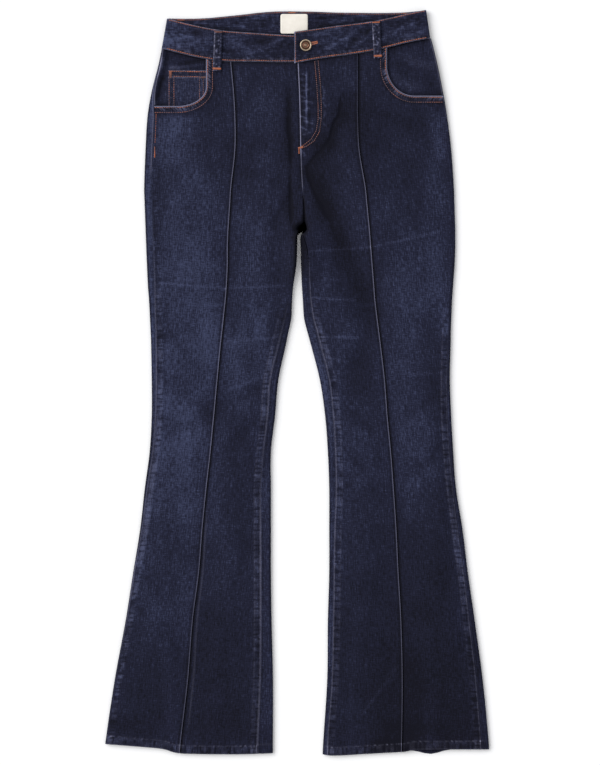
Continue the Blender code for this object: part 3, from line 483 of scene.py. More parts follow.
def folds_at(folds, across, down):
    """Sum of the folds' heights at a place."""
    total = 0.0
    for ax, ay, bx, by, half_width, rise in folds:
        if abs(down - (ay + by) / 2) > abs(by - ay) / 2 + 3 * half_width:
            continue
        away = math.hypot(*nearest(ax, ay, bx, by, across, down)[1:]) / half_width
        if away < 3:
            total += rise * math.exp(-(away**2))
    return total


def relief(side, across, down, inset):
    total = folds_at(FOLDS, across, down)
    if total < -DEEPEST / 2:
        total = -DEEPEST * (1 - 0.5 * math.exp(1 + 2 * total / DEEPEST))
    creased = folds_at(CREASES, across, down) + 0.7 * folds_at(PRESSED, across, down)
    total += creased - GROOVE_DEEP * groove_at(across, down)
    total += 0.5 * uneven(across / 38, down / 60, side * 7.0)
    total += 0.16 * uneven(across / 9, down / 14, side * 3.0)
    return total * smooth((inset - FOLD_RADIUS) / RELIEF_FADE)


def inset_at(side, across, down):
    leg = LEG[side]
    inset = abs(across - leg["outer"](down))
    if down > CROTCH:
        inner = abs(leg["inner"](down) - across)
        inset = min(inset, inner + CROTCH_FLAT * (1 - min((down - CROTCH) / CROTCH_RAMP, 1.0)))
    return inset


def front_height(side, across, down):
    """Height of the outer face of the front, without its seams."""
    inset = inset_at(side, across, down)
    height = lift(down) + fold_height(fold_travel(inset))
    height += relief(side, across, down, inset)
    if side > 0 and down < FLY_LEVEL_ENDS[1]:
        over = 1 - smooth((across - FLY_WIDTH[0]) / (FLY_WIDTH[1] - FLY_WIDTH[0]))
        low, high = FLY_LEVEL_ENDS
        height += FLY_LIFT * over * (1 - smooth((down - low) / (high - low)))
        at, half, rise, first, last = ZIP_RIDGE
        along = smooth((down - first) / 15) * smooth((last - down) / 25)
        ripple = 0.75 + 0.25 * math.sin(2 * math.pi * down / ZIP_RIPPLE)
        height += rise * along * ripple * bell(across - at, half)
    return height


def crotch_swell(across, down):
    """How many times higher the cloth stands at the crotch, where four seams meet and bunch up."""
    across_middle, below, half_width, above_spread, below_spread = SWELL
    spread = above_spread if down < CROTCH + below else below_spread
    away = (((across - across_middle) / half_width) ** 2, ((down - CROTCH - below) / spread) ** 2)
    return 1 + CROTCH_SWELL * math.exp(-away[0] - away[1])


def crotch_shade(side, across, down):
    """How much darker the legs' inner sides are where they lie close together below the crotch."""
    if not CROTCH < down < SHADE_TO:
        return 0.0
    dark = 1.3 * (1 - smooth((down - SHADE_FROM) / (SHADE_TO - SHADE_FROM)))
    return dark * bell(across - LEG[side]["inner"](down), SHADE_WIDE)


def row_down(row, across, waist_edge, hem_edge):
    """Rows follow the waist seam and the hem, and run level between them."""
    waist = max(0.0, 1 - (row - WAIST_ROW) / (FLAT_FROM - WAIST_ROW))
    hem = max(0.0, (row - HEM_FLAT_TO) / (HEM_ROW - HEM_FLAT_TO))
    if row > HEM_FLAT_TO:
        hem = max(hem, 1 - (HEM_ROW - row) / HEM_DEPTH * 0.3)
    return row + waist * (waist_edge(across) + GAP - WAIST_ROW) + hem * (hem_edge(across) - HEM_ROW)


def settled(row, across_of, waist_edge, hem_edge):
    """(across, down) where the row's down and the column's across depend on each other."""
    across = across_of(row)
    for _ in range(3):
        down = row_down(row, across, waist_edge, hem_edge)
        across = across_of(down)
    return across, down


# A felled seam ropes: its turnings rise and fall in uneven blocks across it, and the high ones wear pale.
# The table says how worn its band, its edge and the far side of its turnings are down the leg, and how strong
# its blocks are.
ROPE_DEPTH, ROPE_PITCH = 10.5, 7.6
ROPE_REACH = 4  # beyond its depth a seam shows this much further
EDGE_AT = {(-1, True): -0.1, (-1, False): 0.5, (1, True): 1.2, (1, False): 0.4}  # of each seam's rubbed line
Roping = namedtuple("Roping", "down band edge far blocks")
ROPING = {
    (-1, True): table(
        Roping,
        (200, 0.0, 0.0, 0.0, 0.0), (270, 0.05, 0.1, 0.0, 0.5), (350, 0.05, 0.35, 0.0, 0.8),
        (410, 0.16, 0.6, 0.0, 0.9), (470, 0.22, 0.62, 0.0, 1.0), (535, 0.25, 0.7, 0.05, 1.0),
        (605, 0.29, 0.56, 0.05, 1.0), (680, 0.37, 0.58, 0.0, 1.0), (760, 0.36, 0.55, 0.0, 1.0),
        (850, 0.26, 0.62, 0.0, 1.0), (950, 0.21, 0.25, 0.0, 1.0), (1086, 0.14, 0.15, 0.0, 1.0),
    ),
    (-1, False): table(
        Roping,
        (410, 0.0, 0.0, 0.0, 0.1), (470, 0.12, 0.42, 0.20, 0.5), (535, 0.22, 0.6, 0.24, 0.9),
        (605, 0.19, 0.6, 0.20, 1.0), (680, 0.18, 0.36, 0.18, 1.0), (760, 0.18, 0.72, 0.18, 1.0),
        (850, 0.18, 0.72, 0.22, 1.0), (950, 0.13, 0.6, 0.18, 1.0), (1086, 0.10, 0.56, 0.10, 1.0),
    ),
    (1, True): table(
        Roping,
        (240, 0.0, 0.0, 0.0, 0.0), (410, 0.06, 0.0, 0.0, 0.2), (470, 0.12, 0.15, 0.20, 0.5),
        (535, 0.12, 0.28, 0.25, 1.0), (680, 0.15, 0.32, 0.25, 1.0), (760, 0.29, 0.26, 0.16, 1.0),
        (850, 0.15, 0.42, 0.17, 1.0), (950, 0.10, 0.42, 0.08, 1.0), (1086, 0.08, 0.42, 0.06, 1.0),
    ),
    (1, False): table(
        Roping,
        (350, 0.0, 0.2, 0.0, 0.1), (410, 0.06, 0.52, 0.0, 0.5), (470, 0.27, 0.68, 0.05, 1.0),
        (535, 0.17, 0.6, 0.18, 1.0), (605, 0.24, 0.62, 0.16, 1.0), (680, 0.14, 0.62, 0.18, 1.0),
        (760, 0.17, 0.66, 0.18, 1.0), (850, 0.16, 0.62, 0.20, 1.0), (950, 0.18, 0.58, 0.12, 1.0),
        (1086, 0.16, 0.56, 0.06, 1.0),
    ),
}  # fmt: skip
ROPED = {where: {name: curve(rows, name) for name in Roping._fields[1:]} for where, rows in ROPING.items()}


def rope(
    along, away, seed, pitch=ROPE_PITCH, depth=ROPE_DEPTH,
    band=0.2, edge=0.5, far=0.0, blocks=1.0, edge_at=0.5,
):
    """(rise, wear, dye and painted shade) of a roped seam at a distance along it and a distance away from its
    edge. The last is darker between its blocks and holds a line of painted shadow beside its rubbed edge.
    """
    if away > depth + ROPE_REACH:
        return 0.0, 0.0, 0.0
    jitter = 1.2 * uneven(along / 17, seed, 0.3) + 0.45 * uneven(along / 5, away / 14, seed)
    strength = 0.75 + 0.65 * uneven(along / 14, away / 9, seed)
    crest = (1 - max(math.sin(2 * math.pi * (along / pitch + jitter)), 0.0) ** 2.5) * strength
    body = smooth((away - 0.6) / 1.6) * (1 - smooth((away - depth + 3.0) / 4.5))
    line = bell(away - edge_at, 0.85)
    ledge = bell(away - 0.88 * depth, 1.2)
    wear = (0.65 * band + blocks * (0.20 * crest - 0.11)) * body
    wear += edge * line * (0.66 + 0.4 * crest) + far * ledge * (0.5 + 0.6 * crest)
    rise = (0.3 + 0.5 * (crest - 0.55) * blocks) * body
    # painted shadow in a line just beyond the rubbed edge
    painted_edge_shadow = 0.2 * edge * bell(away - edge_at - 2.4, 0.9)
    return rise, max(wear, 0.0), (0.6 * band + blocks * (0.36 * crest - 0.27)) * body - painted_edge_shadow


def groove_at(across, down):
    """How deep a place is in the grooves. A groove is steep at its left and eases out at its right."""
    deepest = 0.0
    for line in GROOVES:
        if not line[0].down - 12 < down < line[-1].down + 12:
            continue
        for a, b in zip(line, line[1:]):
            along, x, y = nearest(a.across, a.down, b.across, b.down, across, down)
            away = math.hypot(x, y)
            half_width = mix(a.half_width, b.half_width, along)
            depth = mix(a.depth, b.depth, along)
            steep = bell(away, half_width)
            right = smooth(x / half_width) if line is GROOVES[1] else 0.0
            easy = max(steep, 0.5 * math.exp(-away / GROOVE_TAIL))
            deepest = max(deepest, depth * mix(steep, easy, right))
    return deepest


def line_distance(line, across, down):
    """Distance from a line of (across, down) points."""
    return min(math.hypot(*nearest(*a, *b, across, down)[1:]) for a, b in zip(line, line[1:]))


def fade_and_shade_at(across, down):
    """How much the dye has washed out, from 0 at the hems to 1, paler on the ridges of the folds and darker
    with painted shade in their troughs, in the creases' troughs and in the grooves.
    """
    cloud = 0.06 * uneven(across / 60, down / 110, 9.0) + 0.03 * uneven(across / 14, down / 30, 4.0)
    fold_wear_and_shade = folds_at(FOLDS, across, down)
    # the ridges rubbed paler; painted shade in the troughs and grooves, with some dye that stays dark there
    fold_wear_and_shade = 0.04 * fold_wear_and_shade if fold_wear_and_shade > 0 else 0.08 * max(fold_wear_and_shade, -2.5)
    fold_wear_and_shade -= GROOVE_SHADE * groove_at(across, down)
    return 0.29 + folds_at(WASHES_AND_SHADE, across, down) + cloud + fold_wear_and_shade + 0.12 * folds_at(CREASES, across, down)


def bend(name, columns, rows, place, finish, thickness=DENIM, flip=False):
    """A cloth panel: a grid laid into place by place(column, row), which gives the point, its place in the
    cloth in mm, how worn it is, and the lightness of its dye with painted shade added in. Its wall is then
    given its thickness on the inside."""
    shape = bmesh.new()
    bmesh.ops.create_grid(shape, x_segments=columns - 1, y_segments=rows - 1, size=1.0)
    grain = shape.loops.layers.uv.new("grain")
    worn = shape.verts.layers.float.new("worn")
    fade_and_shade = shape.verts.layers.float.new("fade_and_shade")
    grains = {}
    for vertex in shape.verts:
        column = round((vertex.co.x + 1) / 2 * (columns - 1))
        row = round((1 - vertex.co.y) / 2 * (rows - 1))
        vertex.co, grains[vertex], vertex[worn], vertex[fade_and_shade] = place(column, row)
    for face in shape.faces:
        for corner in face.loops:
            across, down = grains[corner.vert]
            corner[grain].uv = (across * MM, down * MM)
    if flip:
        bmesh.ops.reverse_faces(shape, faces=shape.faces[:])
    made = finished(name, shape, finish)
    wall = made.modifiers.new("wall", "SOLIDIFY")
    wall.thickness = thickness * MM
    wall.offset = -1.0
    return made


def steps(*spans):
    """Values from runs of (first, last, spacing), evenly spaced within each."""
    found = []
    for first, last, spacing in spans:
        count = max(1, round(abs(last - first) / spacing))
        found += [mix(first, last, i / count) for i in range(count)]
    return [*found, spans[-1][1]]


# Ring-dyed indigo stretch denim, a 3/1 right-hand twill, its warp blue and slubby, its weft pale and hidden.
# It looks matt and cloudy close up, with short upright streaks, and wears to a greyed lilac on every edge.
# The twill is 0.9 mm in the cloth, too fine to show, so its lines are drawn 2 mm apart.
DEEP_INDIGO, INDIGO, WASHED_INDIGO, WORN_EDGE = "#090916", "#1c1e32", "#484f6e", "#85859e"
TWILL_PITCH, TWILL_SLOPE = 2.0, math.radians(58)
SLUB_WIDTH, SLUB_LENGTH, THREAD = 1.1, 7.5, 1.0


def fill(ramp, *stops):
    """Gives a colour ramp its stops, as (position, colour code)."""
    for element, (position, code) in zip(ramp.elements, (stops[0], stops[-1])):
        element.position, element.color = position, colour(code)
    for position, code in stops[1:-1]:
        ramp.elements.new(position).color = colour(code)


def denim_material(name, brightness=0.0):
    made, tree, shader = new_material(name)
    grain = node(tree, "UVMap", uv_map="grain").outputs[0]
    worn = node(tree, "Attribute", attribute_name="worn").outputs["Fac"]
    fade_and_shade = node(tree, "Attribute", attribute_name="fade_and_shade").outputs["Fac"]

    def spun(across, down, detail=0.0):
        """Noise in the cloth with grains of that size in mm."""
        spread = node(tree, "Mapping", {"Vector": grain, "Scale": (1000 / across, 1000 / down, 1)}).outputs[0]
        inputs = {"Vector": spread, "Scale": 1.0, "Detail": detail, "Roughness": 0.6}
        return node(tree, "TexNoise", inputs).outputs["Fac"]

    slub = spun(SLUB_WIDTH, SLUB_LENGTH)
    streak = spun(SLUB_WIDTH * 1.3, SLUB_LENGTH * 5)
    thread = spun(THREAD, THREAD * 1.3)
    weft = spun(8.0, THREAD * 1.1)
    cloud = spun(40.0, 66.0, 1.0)
    turned = node(tree, "Mapping", {"Vector": grain, "Rotation": (0, 0, TWILL_SLOPE)}).outputs[0]
    lines = {"Vector": turned, "Scale": 1000 / TWILL_PITCH / 20 * math.pi, "Distortion": 2.5}
    twill = node(tree, "TexWave", {**lines, "Detail": 1.0, "Detail Scale": 3.0}).outputs["Fac"]

    def blend(a, b, amount):
        """a + (b - 0.5) * amount"""
        centred = node(tree, "Math", {0: b, 1: 0.5}, operation="SUBTRACT").outputs[0]
        return node(tree, "Math", {0: centred, 1: amount, 2: a}, operation="MULTIPLY_ADD").outputs[0]

    level = fade_and_shade
    for pattern, amount in (
        (slub, 0.55), (streak, 0.30), (thread, 0.38), (weft, 0.42), (cloud, 0.12), (twill, 0.03),
    ):  # fmt: skip
        level = blend(level, pattern, amount)
    level = node(tree, "Math", {0: level, 1: brightness}, operation="ADD").outputs[0]
    dyed = node(tree, "ValToRGB", {"Fac": level})
    fill(dyed.color_ramp, (0.0, DEEP_INDIGO), (0.42, INDIGO), (1.0, WASHED_INDIGO))
    rubbed = node(tree, "Math", {0: blend(worn, thread, 0.5), 1: worn}, operation="MULTIPLY").outputs[0]
    rubbed = node(tree, "Math", {0: rubbed, 1: 1.0}, operation="MULTIPLY", use_clamp=True).outputs[0]
    shades = {"Factor": rubbed, "A": dyed.outputs["Color"], "B": colour(WORN_EDGE)}
    shown = node(tree, "Mix", shades, data_type="RGBA").outputs["Result"]
    # Deep in a fold the cloth gets no light, so it is black there.
    lit = node(tree, "MapRange", {"Value": fade_and_shade, "From Min": -1.3, "From Max": -0.4}).outputs[0]
    weave = node(tree, "Math", {0: twill, 1: 0.35, 2: thread}, operation="MULTIPLY_ADD").outputs[0]
    weave = node(tree, "Math", {0: slub, 1: 0.6, 2: weave}, operation="MULTIPLY_ADD").outputs[0]
    looks = {
        "Base Color": node(tree, "VectorMath", {0: shown, "Scale": lit}, operation="SCALE").outputs[0],
        "Roughness": node(tree, "MapRange", {"Value": thread, "To Min": 0.78, "To Max": 0.95}).outputs[0],
        "IOR": 1.5,
        "Specular IOR Level": node(tree, "Math", {0: lit, 1: 0.15}, operation="MULTIPLY").outputs[0],
        "Sheen Weight": node(tree, "Math", {0: lit, 1: 0.05}, operation="MULTIPLY").outputs[0],
        "Sheen Roughness": 0.5,
        "Sheen Tint": colour("#8f94b8"),
        "Normal": node(tree, "Bump", {"Height": weave, "Strength": 0.55, "Distance": 0.0005}).outputs[0],
    }
    plug(tree, shader, looks)
    return made


denim = denim_material("indigo_stretch_denim")

PANEL_ROWS = steps((WAIST_ROW, HEM_ROW - HEM_DEPTH - 1, 2.2), (HEM_ROW - HEM_DEPTH - 1, HEM_ROW, 1.2))
SEAM_SIDE = steps((0, 4.5, 0.75), (4.5, 13.5, 1.5))  # columns over a felled seam's turnings
CREASE_SIDE = steps((0, 3.2, 0.8), (3.2, 6.0, 1.4))  # columns beside the crease seam
PANEL_MIDDLE = 80.0  # a front panel's width between them
# How bright the crease seam's rubbed edge is down each leg.
Rubbed = namedtuple("Rubbed", "down edge")
CREASE_EDGES = {
    -1: table(
        Rubbed,
        (60, 0.86), (160, 0.98), (240, 0.94), (480, 1.0), (680, 0.93), (880, 0.74), (1086, 0.74),
    ),
    1: table(
        Rubbed,
        (60, 0.32), (150, 0.5), (240, 0.93), (400, 0.94), (780, 0.88), (960, 0.74), (1086, 0.6),
    ),
}  # fmt: skip
CREASE_EDGE = {side: curve(rows, "edge") for side, rows in CREASE_EDGES.items()}


def crease_seam(side, away, toward_right, down):
    """(rise, wear, dye and painted shade) beside a crease seam: its turnings are pressed to the wearer's
    left, so the edge at the wearer's right lies on top and is rubbed pale, with a line of painted shadow at
    either side of it."""
    if toward_right:
        return (
            0.6 * bell(away - 0.4, 1.2),
            CREASE_EDGE[side](down) * bell(away - 0.35, 0.75),
            # painted shadow in a line beyond the rubbed edge
            -0.22 * bell(away - 2.9, 1.1),
        )
    mark = bell(away - 4.5 - 3.5 * (down - 740) / 260, 1.6) if side < 0 else 0.0
    mark *= smooth((down - 700) / 60) * (1 - smooth((down - 1020) / 60))
    # painted shadow along the seam's low side
    dark = 1.3 * bell(away, 2.1) + 0.14 * math.exp(-away / 4)
    return -0.3 * bell(away, 2.2) + 0.2 * mark, 0.3 * mark, -dark


def hem_band(side, across, down, seed):
    """(rise, wear, dye and painted shade) of the turned-up hem, which ropes as a felled seam does."""
    up = HEM[side](across) - down
    if up > HEM_DEPTH + 4:
        return 0.0, 0.0, 0.0
    rise, wear, fade = rope(across, up, seed, pitch=7.2, depth=HEM_DEPTH - 1.0, blocks=1.25)
    step = smooth((HEM_DEPTH + 0.6 - up) / 1.2)
    line = bell(up - HEM_DEPTH + 1, 1.0)
    dots = 0.5 + 1.6 * uneven(across / 3.5, seed, 5.0)
    return HEM_RISE * step + 0.6 * (rise - 0.4) * step, 0.9 * wear * step + 0.45 * max(dots, 0.0) * line, fade


def front_panel(name, side, outer_part, finish):
    """A front panel between the crease seam and the side seam, or the centre front and inseam."""
    leg = LEG[side]
    toward = -side
    middle = steps((0.0, 1.0, (2.4 if outer_part else 1.7) / PANEL_MIDDLE))[1:-1]
    first, last = (SEAM_SIDE, CREASE_SIDE) if outer_part else (CREASE_SIDE, SEAM_SIDE)
    columns = [("first", v) for v in first] + [("middle", v) for v in middle]
    columns += [("last", v) for v in reversed(last)]

    def side_across(down, offset):
        outer = leg["outer"](down)
        start = fold_travel(abs(leg["outseam"](down) - outer)) + SEAM_GAP / 2
        return outer + toward * fold_inset(start + offset)

    def inner_across(down, offset):
        flat = leg["inner"](down) - toward * (SEAM_GAP / 2 + offset)
        if side < 0:
            flat += (FLY_UNDERLAP + GAP) * (1 - smooth((down - FLY_ENDS[0]) / (FLY_ENDS[1] - FLY_ENDS[0])))
        if down <= CROTCH:
            return flat
        inner = leg["inner"](down)
        start = fold_travel(abs(leg["inseam"](down) - inner)) + SEAM_GAP / 2
        start += 0.9 * (1 - smooth((down - 350) / 35))
        rolled = inner - toward * fold_inset(start + offset)
        return mix(flat, rolled, min((down - CROTCH) / CROTCH_RAMP, 1.0))

    def crease_across(down, offset):
        return leg["crease"](down) + (GAP / 2 + offset) * (-toward if outer_part else toward)

    edge_of = (side_across, crease_across) if outer_part else (crease_across, inner_across)

    def across_of(part, value, down):
        if part == "first":
            return edge_of[0](down, value)
        if part == "last":
            return edge_of[1](down, value)
        return mix(edge_of[0](down, first[-1]), edge_of[1](down, last[-1]), value)

    seed = side * 10 + (1 if outer_part else 2)
    on_right = (side < 0) == outer_part  # of the crease seam

    def place(column, row):
        part, value = columns[column]
        row = PANEL_ROWS[row]
        across, down = settled(row, lambda d: across_of(part, value, d), WAIST_EDGE[side], HEM[side])
        height = front_height(side, across, down)
        worn, fade_and_shade = 0.0, fade_and_shade_at(across, down)
        if outer_part:
            from_seam = abs(across - leg["outseam"](down))
            strength = smooth((down - 150) / 80)
        else:
            from_seam = abs(across - (leg["inseam"] if down > CROTCH else leg["inner"])(down))
            strength = 1.0 if down > CROTCH else 0.3
        if from_seam < ROPE_DEPTH + ROPE_REACH:
            looks = {name: at(down) for name, at in ROPED[side, outer_part].items()}
            rise, wear, fade = rope(down, from_seam, seed, edge_at=EDGE_AT[side, outer_part], **looks)
            height += 0.7 * rise * strength
            worn, fade_and_shade = worn + wear, fade_and_shade + fade
        if side > 0 and outer_part and down < 160:
            worn += 0.45 * bell(from_seam, 1.4)
        if not outer_part and down < CROTCH:
            fly_line = (1 - smooth((down - 255) / 16)) * (1 - 0.42 * smooth((down - 208) / 10))
            if side > 0:
                worn += 0.92 * fly_line * bell(from_seam - 0.5, 0.8)
            # painted shadow in a line beside the fly's edge
            past_edge = across - leg["inner"](down)
            fade_and_shade -= 0.22 * fly_line * bell(past_edge + 1.6, 1.1)
            # the centre seam above the crotch sinks into a slit blackened with painted shade
            slit = smooth((down - 268) / 14) * bell(from_seam, mix(1.1, 3.0, smooth((down - 285) / 34)))
            fade_and_shade, height = fade_and_shade - 1.4 * slit, height - 1.6 * slit
        from_crease = abs(across - leg["crease"](down))
        beside_crease = crease_seam(side, from_crease, on_right, down)
        for rise, wear, fade in (beside_crease, hem_band(side, across, down, seed)):
            height, worn, fade_and_shade = height + rise, worn + wear, fade_and_shade + fade
        pressed = folds_at(PRESSED, across, down)
        worn, fade_and_shade = worn + 0.2 * pressed, fade_and_shade + 0.3 * pressed
        if side > 0 and down < ZIP_RUB[3] and across < ZIP_RUB_WITHIN:
            zip_edge = ZIP_RIDGE[0] + 0.9 * uneven(down / 7, 3.0, 1.0)
            begins, full, fading, ends = ZIP_RUB
            along = smooth((down - begins) / (full - begins))
            along *= 1 - smooth((down - fading) / (ends - fading))
            rubbed = along * bell(across - zip_edge, 1.4) * (1.0 + 0.6 * uneven(down / 4, 8.0, 1.0))
            worn, fade_and_shade = worn + 0.3 * rubbed, fade_and_shade + 0.5 * rubbed
            # painted shade on both sides of the ridge over the zip
            beside_zip = smooth((across - 1.5) / 2) * (1 - smooth((across - 10.5) / 2))
            fade_and_shade -= 0.2 * along * (beside_zip + bell(across - 17.2, 1.6))
        if side > 0 and down < FLY_WITHIN[1] and across < FLY_WITHIN[0]:
            near_rows = [line_distance(row, across, down) for row in FLY_ROWS]
            # painted shade along the fly's rows of stitches; the specks between them are wear
            fade_and_shade -= 0.2 * sum(bell(d, 1.7) for d in near_rows)
            specks = max(uneven(across / 1.9, down / 1.9, 14.0), 0.0)
            worn += 1.1 * specks * math.exp(-((max(near_rows) / 4.2) ** 4))
        # painted shadow under the waistband's lower edge
        below_band = down - WAIST_EDGE[side](across)
        fade_and_shade -= 0.1 * bell(below_band, 7) + 0.25 * bell(below_band, 2.6)
        if down < 60 + CROTCH and abs(across) < 40:
            # painted shade round the crotch, and black painted shade in its pit, which is also sunk
            fade_and_shade -= 0.12 * bell(down - CROTCH - 4, 14) * bell(across - 8, 14)
            pit = math.exp(-(math.hypot((across - 7.0) / 8.0, (down - CROTCH + 1) / 8.5) ** 4))
            fade_and_shade -= 1.5 * pit
            height -= 3.0 * pit
        fade_and_shade -= crotch_shade(side, across, down)
        height = max(height * crotch_swell(across, down), 2 * DENIM + SEAM_GAP)
        return point(across, down, height), (across - leg["crease"](down), down), worn, fade_and_shade

    return bend(name, len(columns), len(PANEL_ROWS), place, finish, flip=side > 0)


# A curved front pocket mouth: straight down at across, round a corner and level at down.
Pocket = namedtuple("Pocket", "across down round_across round_down")
POCKETS = {-1: Pocket(-132.5, 141.0, 42.0, 28.0), 1: Pocket(131.2, 126.0, 40.0, 44.0)}
FINER_WITHIN, NUDGE = 4, 0.05  # of a hole's line: the cloth is made finer, and the slope is measured


def mouth_line(side, out, count=24):
    """The mouth's line, moved out into the front by a distance, from the waist to the side seam."""
    pocket = POCKETS[side]
    centre = (pocket.across + side * pocket.round_across, pocket.down - pocket.round_down)
    wide, high = pocket.round_across + out, pocket.round_down + out
    found = [(pocket.across - side * out, WAIST_EDGE[side](pocket.across - side * out) + 0.5)]
    for i in range(count + 1):
        turn = math.pi / 2 * i / count
        found.append((centre[0] - side * wide * math.cos(turn), centre[1] + high * math.sin(turn)))
    end = LEG[side]["outseam"](pocket.down + out)
    return [*found, (end, pocket.down + out)]


def mouth_distance(side, across, down):
    """Distance outside the mouth's line, negative within the mouth."""
    pocket = POCKETS[side]
    centre_down = pocket.down - pocket.round_down
    inward = (across - pocket.across) * side  # towards the side seam
    if inward > pocket.round_across:
        return down - pocket.down
    if down < centre_down:
        return -inward
    x, y = (inward - pocket.round_across) / pocket.round_across, (down - centre_down) / pocket.round_down
    reach = math.hypot(x, y)
    slope = math.hypot(x / pocket.round_across, y / pocket.round_down) / max(reach, 1e-6)
    return (reach - 1) / max(slope, 1e-6)


def spot_of(vertex):
    """(across, down) of a point of a cloth."""
    return vertex.co.x / MM, LENGTH / 2 - vertex.co.y / MM


def open_hole(piece, away_at, near_box, finer, dress=None):
    """Cuts a hole in a cloth where away_at(across, down) is negative, within near_box = (low across, high
    across, low down, high down). The cloth near its line is made finer, the points beside the line move onto
    it, and the faces within are deleted. dress(shape, distances) may shape and wear the points round it."""
    shape = bmesh.new()
    shape.from_mesh(piece.data)
    low_across, high_across, low_down, high_down = near_box

    def away_of(vertex):
        across, down = spot_of(vertex)
        if low_across < across < high_across and low_down < down < high_down:
            return away_at(across, down)
        return None

    away = {vertex: away_of(vertex) for vertex in shape.verts}
    edges = {
        edge
        for face in shape.faces
        if any(away[v] is not None and abs(away[v]) < FINER_WITHIN for v in face.verts)
        for edge in face.edges
    }
    reach = max(edge.calc_length() for edge in edges) / MM / (finer + 1) * 0.52
    bmesh.ops.subdivide_edges(shape, edges=[*edges], cuts=finer, use_grid_fill=True)
    near = {}

    def onto_line(vertex):
        across, down = spot_of(vertex)
        distance = near[vertex]
        slope = Vector((away_at(across + NUDGE, down) - distance, distance - away_at(across, down + NUDGE)))
        if slope.length > 1e-9:
            slope.normalize()
            vertex.co.x -= slope.x * distance * MM
            vertex.co.y -= slope.y * distance * MM
        near[vertex] = 0.0

    for vertex in shape.verts:
        distance = away_of(vertex)
        if distance is None:
            continue
        near[vertex] = distance
        if abs(distance) < reach:
            onto_line(vertex)
    for face in [f for f in shape.faces if len(f.verts) == 4 and all(v in near for v in f.verts)]:
        on_line = [v for v in face.verts if near[v] == 0.0]
        if min(near[v] for v in face.verts) < 0 < max(near[v] for v in face.verts) and len(on_line) == 2:
            if not any(set(edge.verts) == set(on_line) for edge in face.edges):
                bmesh.utils.face_split(face, *on_line)
    for face in shape.faces:
        if all(v in near for v in face.verts) and max(near[v] for v in face.verts) > 0:
            for vertex in face.verts:
                if -2 * reach < near[vertex] < 0:
                    onto_line(vertex)
    if dress:
        dress(shape, near)
    measured = [f for f in shape.faces if all(v in near for v in f.verts)]
    inside = [f for f in measured if max(near[v] for v in f.verts) <= 0]
    bmesh.ops.delete(shape, geom=inside, context="FACES")
    shape.to_mesh(piece.data)
    shape.free()


MOUTH_TURNING = 10.4  # width of its turned edge


def open_mouth(piece, side):
    """Cuts a pocket's mouth. Its turned edge is thick, roped between its stitches, and rubbed pale, with a
    line of painted shadow just beyond it.
    """

    def dress(shape, near):
        worn, fade_and_shade = shape.verts.layers.float["worn"], shape.verts.layers.float["fade_and_shade"]
        for vertex, away in near.items():
            if away > MOUTH_TURNING + 4:
                continue
            across, down = spot_of(vertex)
            outside = max(away, 0.0)
            turning = smooth(outside / 1.2) * (1 - smooth((outside - MOUTH_TURNING) / 2.0))
            along, seed = down + across * side, side * 31.0
            rise, wear, fade = rope(along, outside, seed, pitch=4.7, depth=8.0, edge=0.0, blocks=2.2)
            vertex.co.z += (0.55 * turning + 0.35 * (rise - 0.4) * turning) * MM
            vertex[worn] += 0.95 * bell(outside, 1.6) + 1.2 * wear * turning
            vertex[fade_and_shade] += fade * turning - 0.08 * bell(outside - 5.5, 3.0)
            # painted shadow in a line just beyond the turned edge
            vertex[fade_and_shade] -= 0.2 * bell(outside - MOUTH_TURNING - 1.0, 1.3)

    pocket = POCKETS[side]
    ends = sorted((pocket.across - side * 15, pocket.across + side * 100))
    near_box = (*ends, pocket.down - 122, pocket.down + 15)
    open_hole(piece, lambda across, down: mouth_distance(side, across, down), near_box, 2, dress)


# How much paler than the rest the back panels are where they come round onto the top. Just below the crotch
# the left inside strip is darker, painted shade beside the gap between the legs.
Strip = namedtuple("Strip", "down fade")
STRIPS = {
    (-1, "side"): table(
        Strip,
        (60, 0.52), (110, 0.38), (190, 0.28), (230, 0.34), (350, 0.30), (400, 0.33), (460, 0.28),
        (560, 0.32), (900, 0.36), (1086, 0.25),
    ),
    (-1, "inside"): table(
        Strip,
        (321, 0.07), (440, 0.0), (570, 0.2), (650, 0.05), (760, 0.15), (900, 0.15), (1000, 0.0),
    ),
    (1, "inside"): table(
        Strip,
        (321, -0.3), (345, -0.26), (380, -0.08), (440, 0.05), (500, 0.12), (605, 0.3), (680, 0.17),
        (760, 0.3), (850, 0.28), (950, 0.15), (1035, 0.28), (1086, 0.28),
    ),
    (1, "side"): table(
        Strip,
        (60, 0.07), (560, 0.07), (900, 0.05), (1000, -0.05), (1086, -0.1),
    ),
}  # fmt: skip
STRIP_FADE_AND_SHADE = {where: curve(rows, "fade") for where, rows in STRIPS.items()}


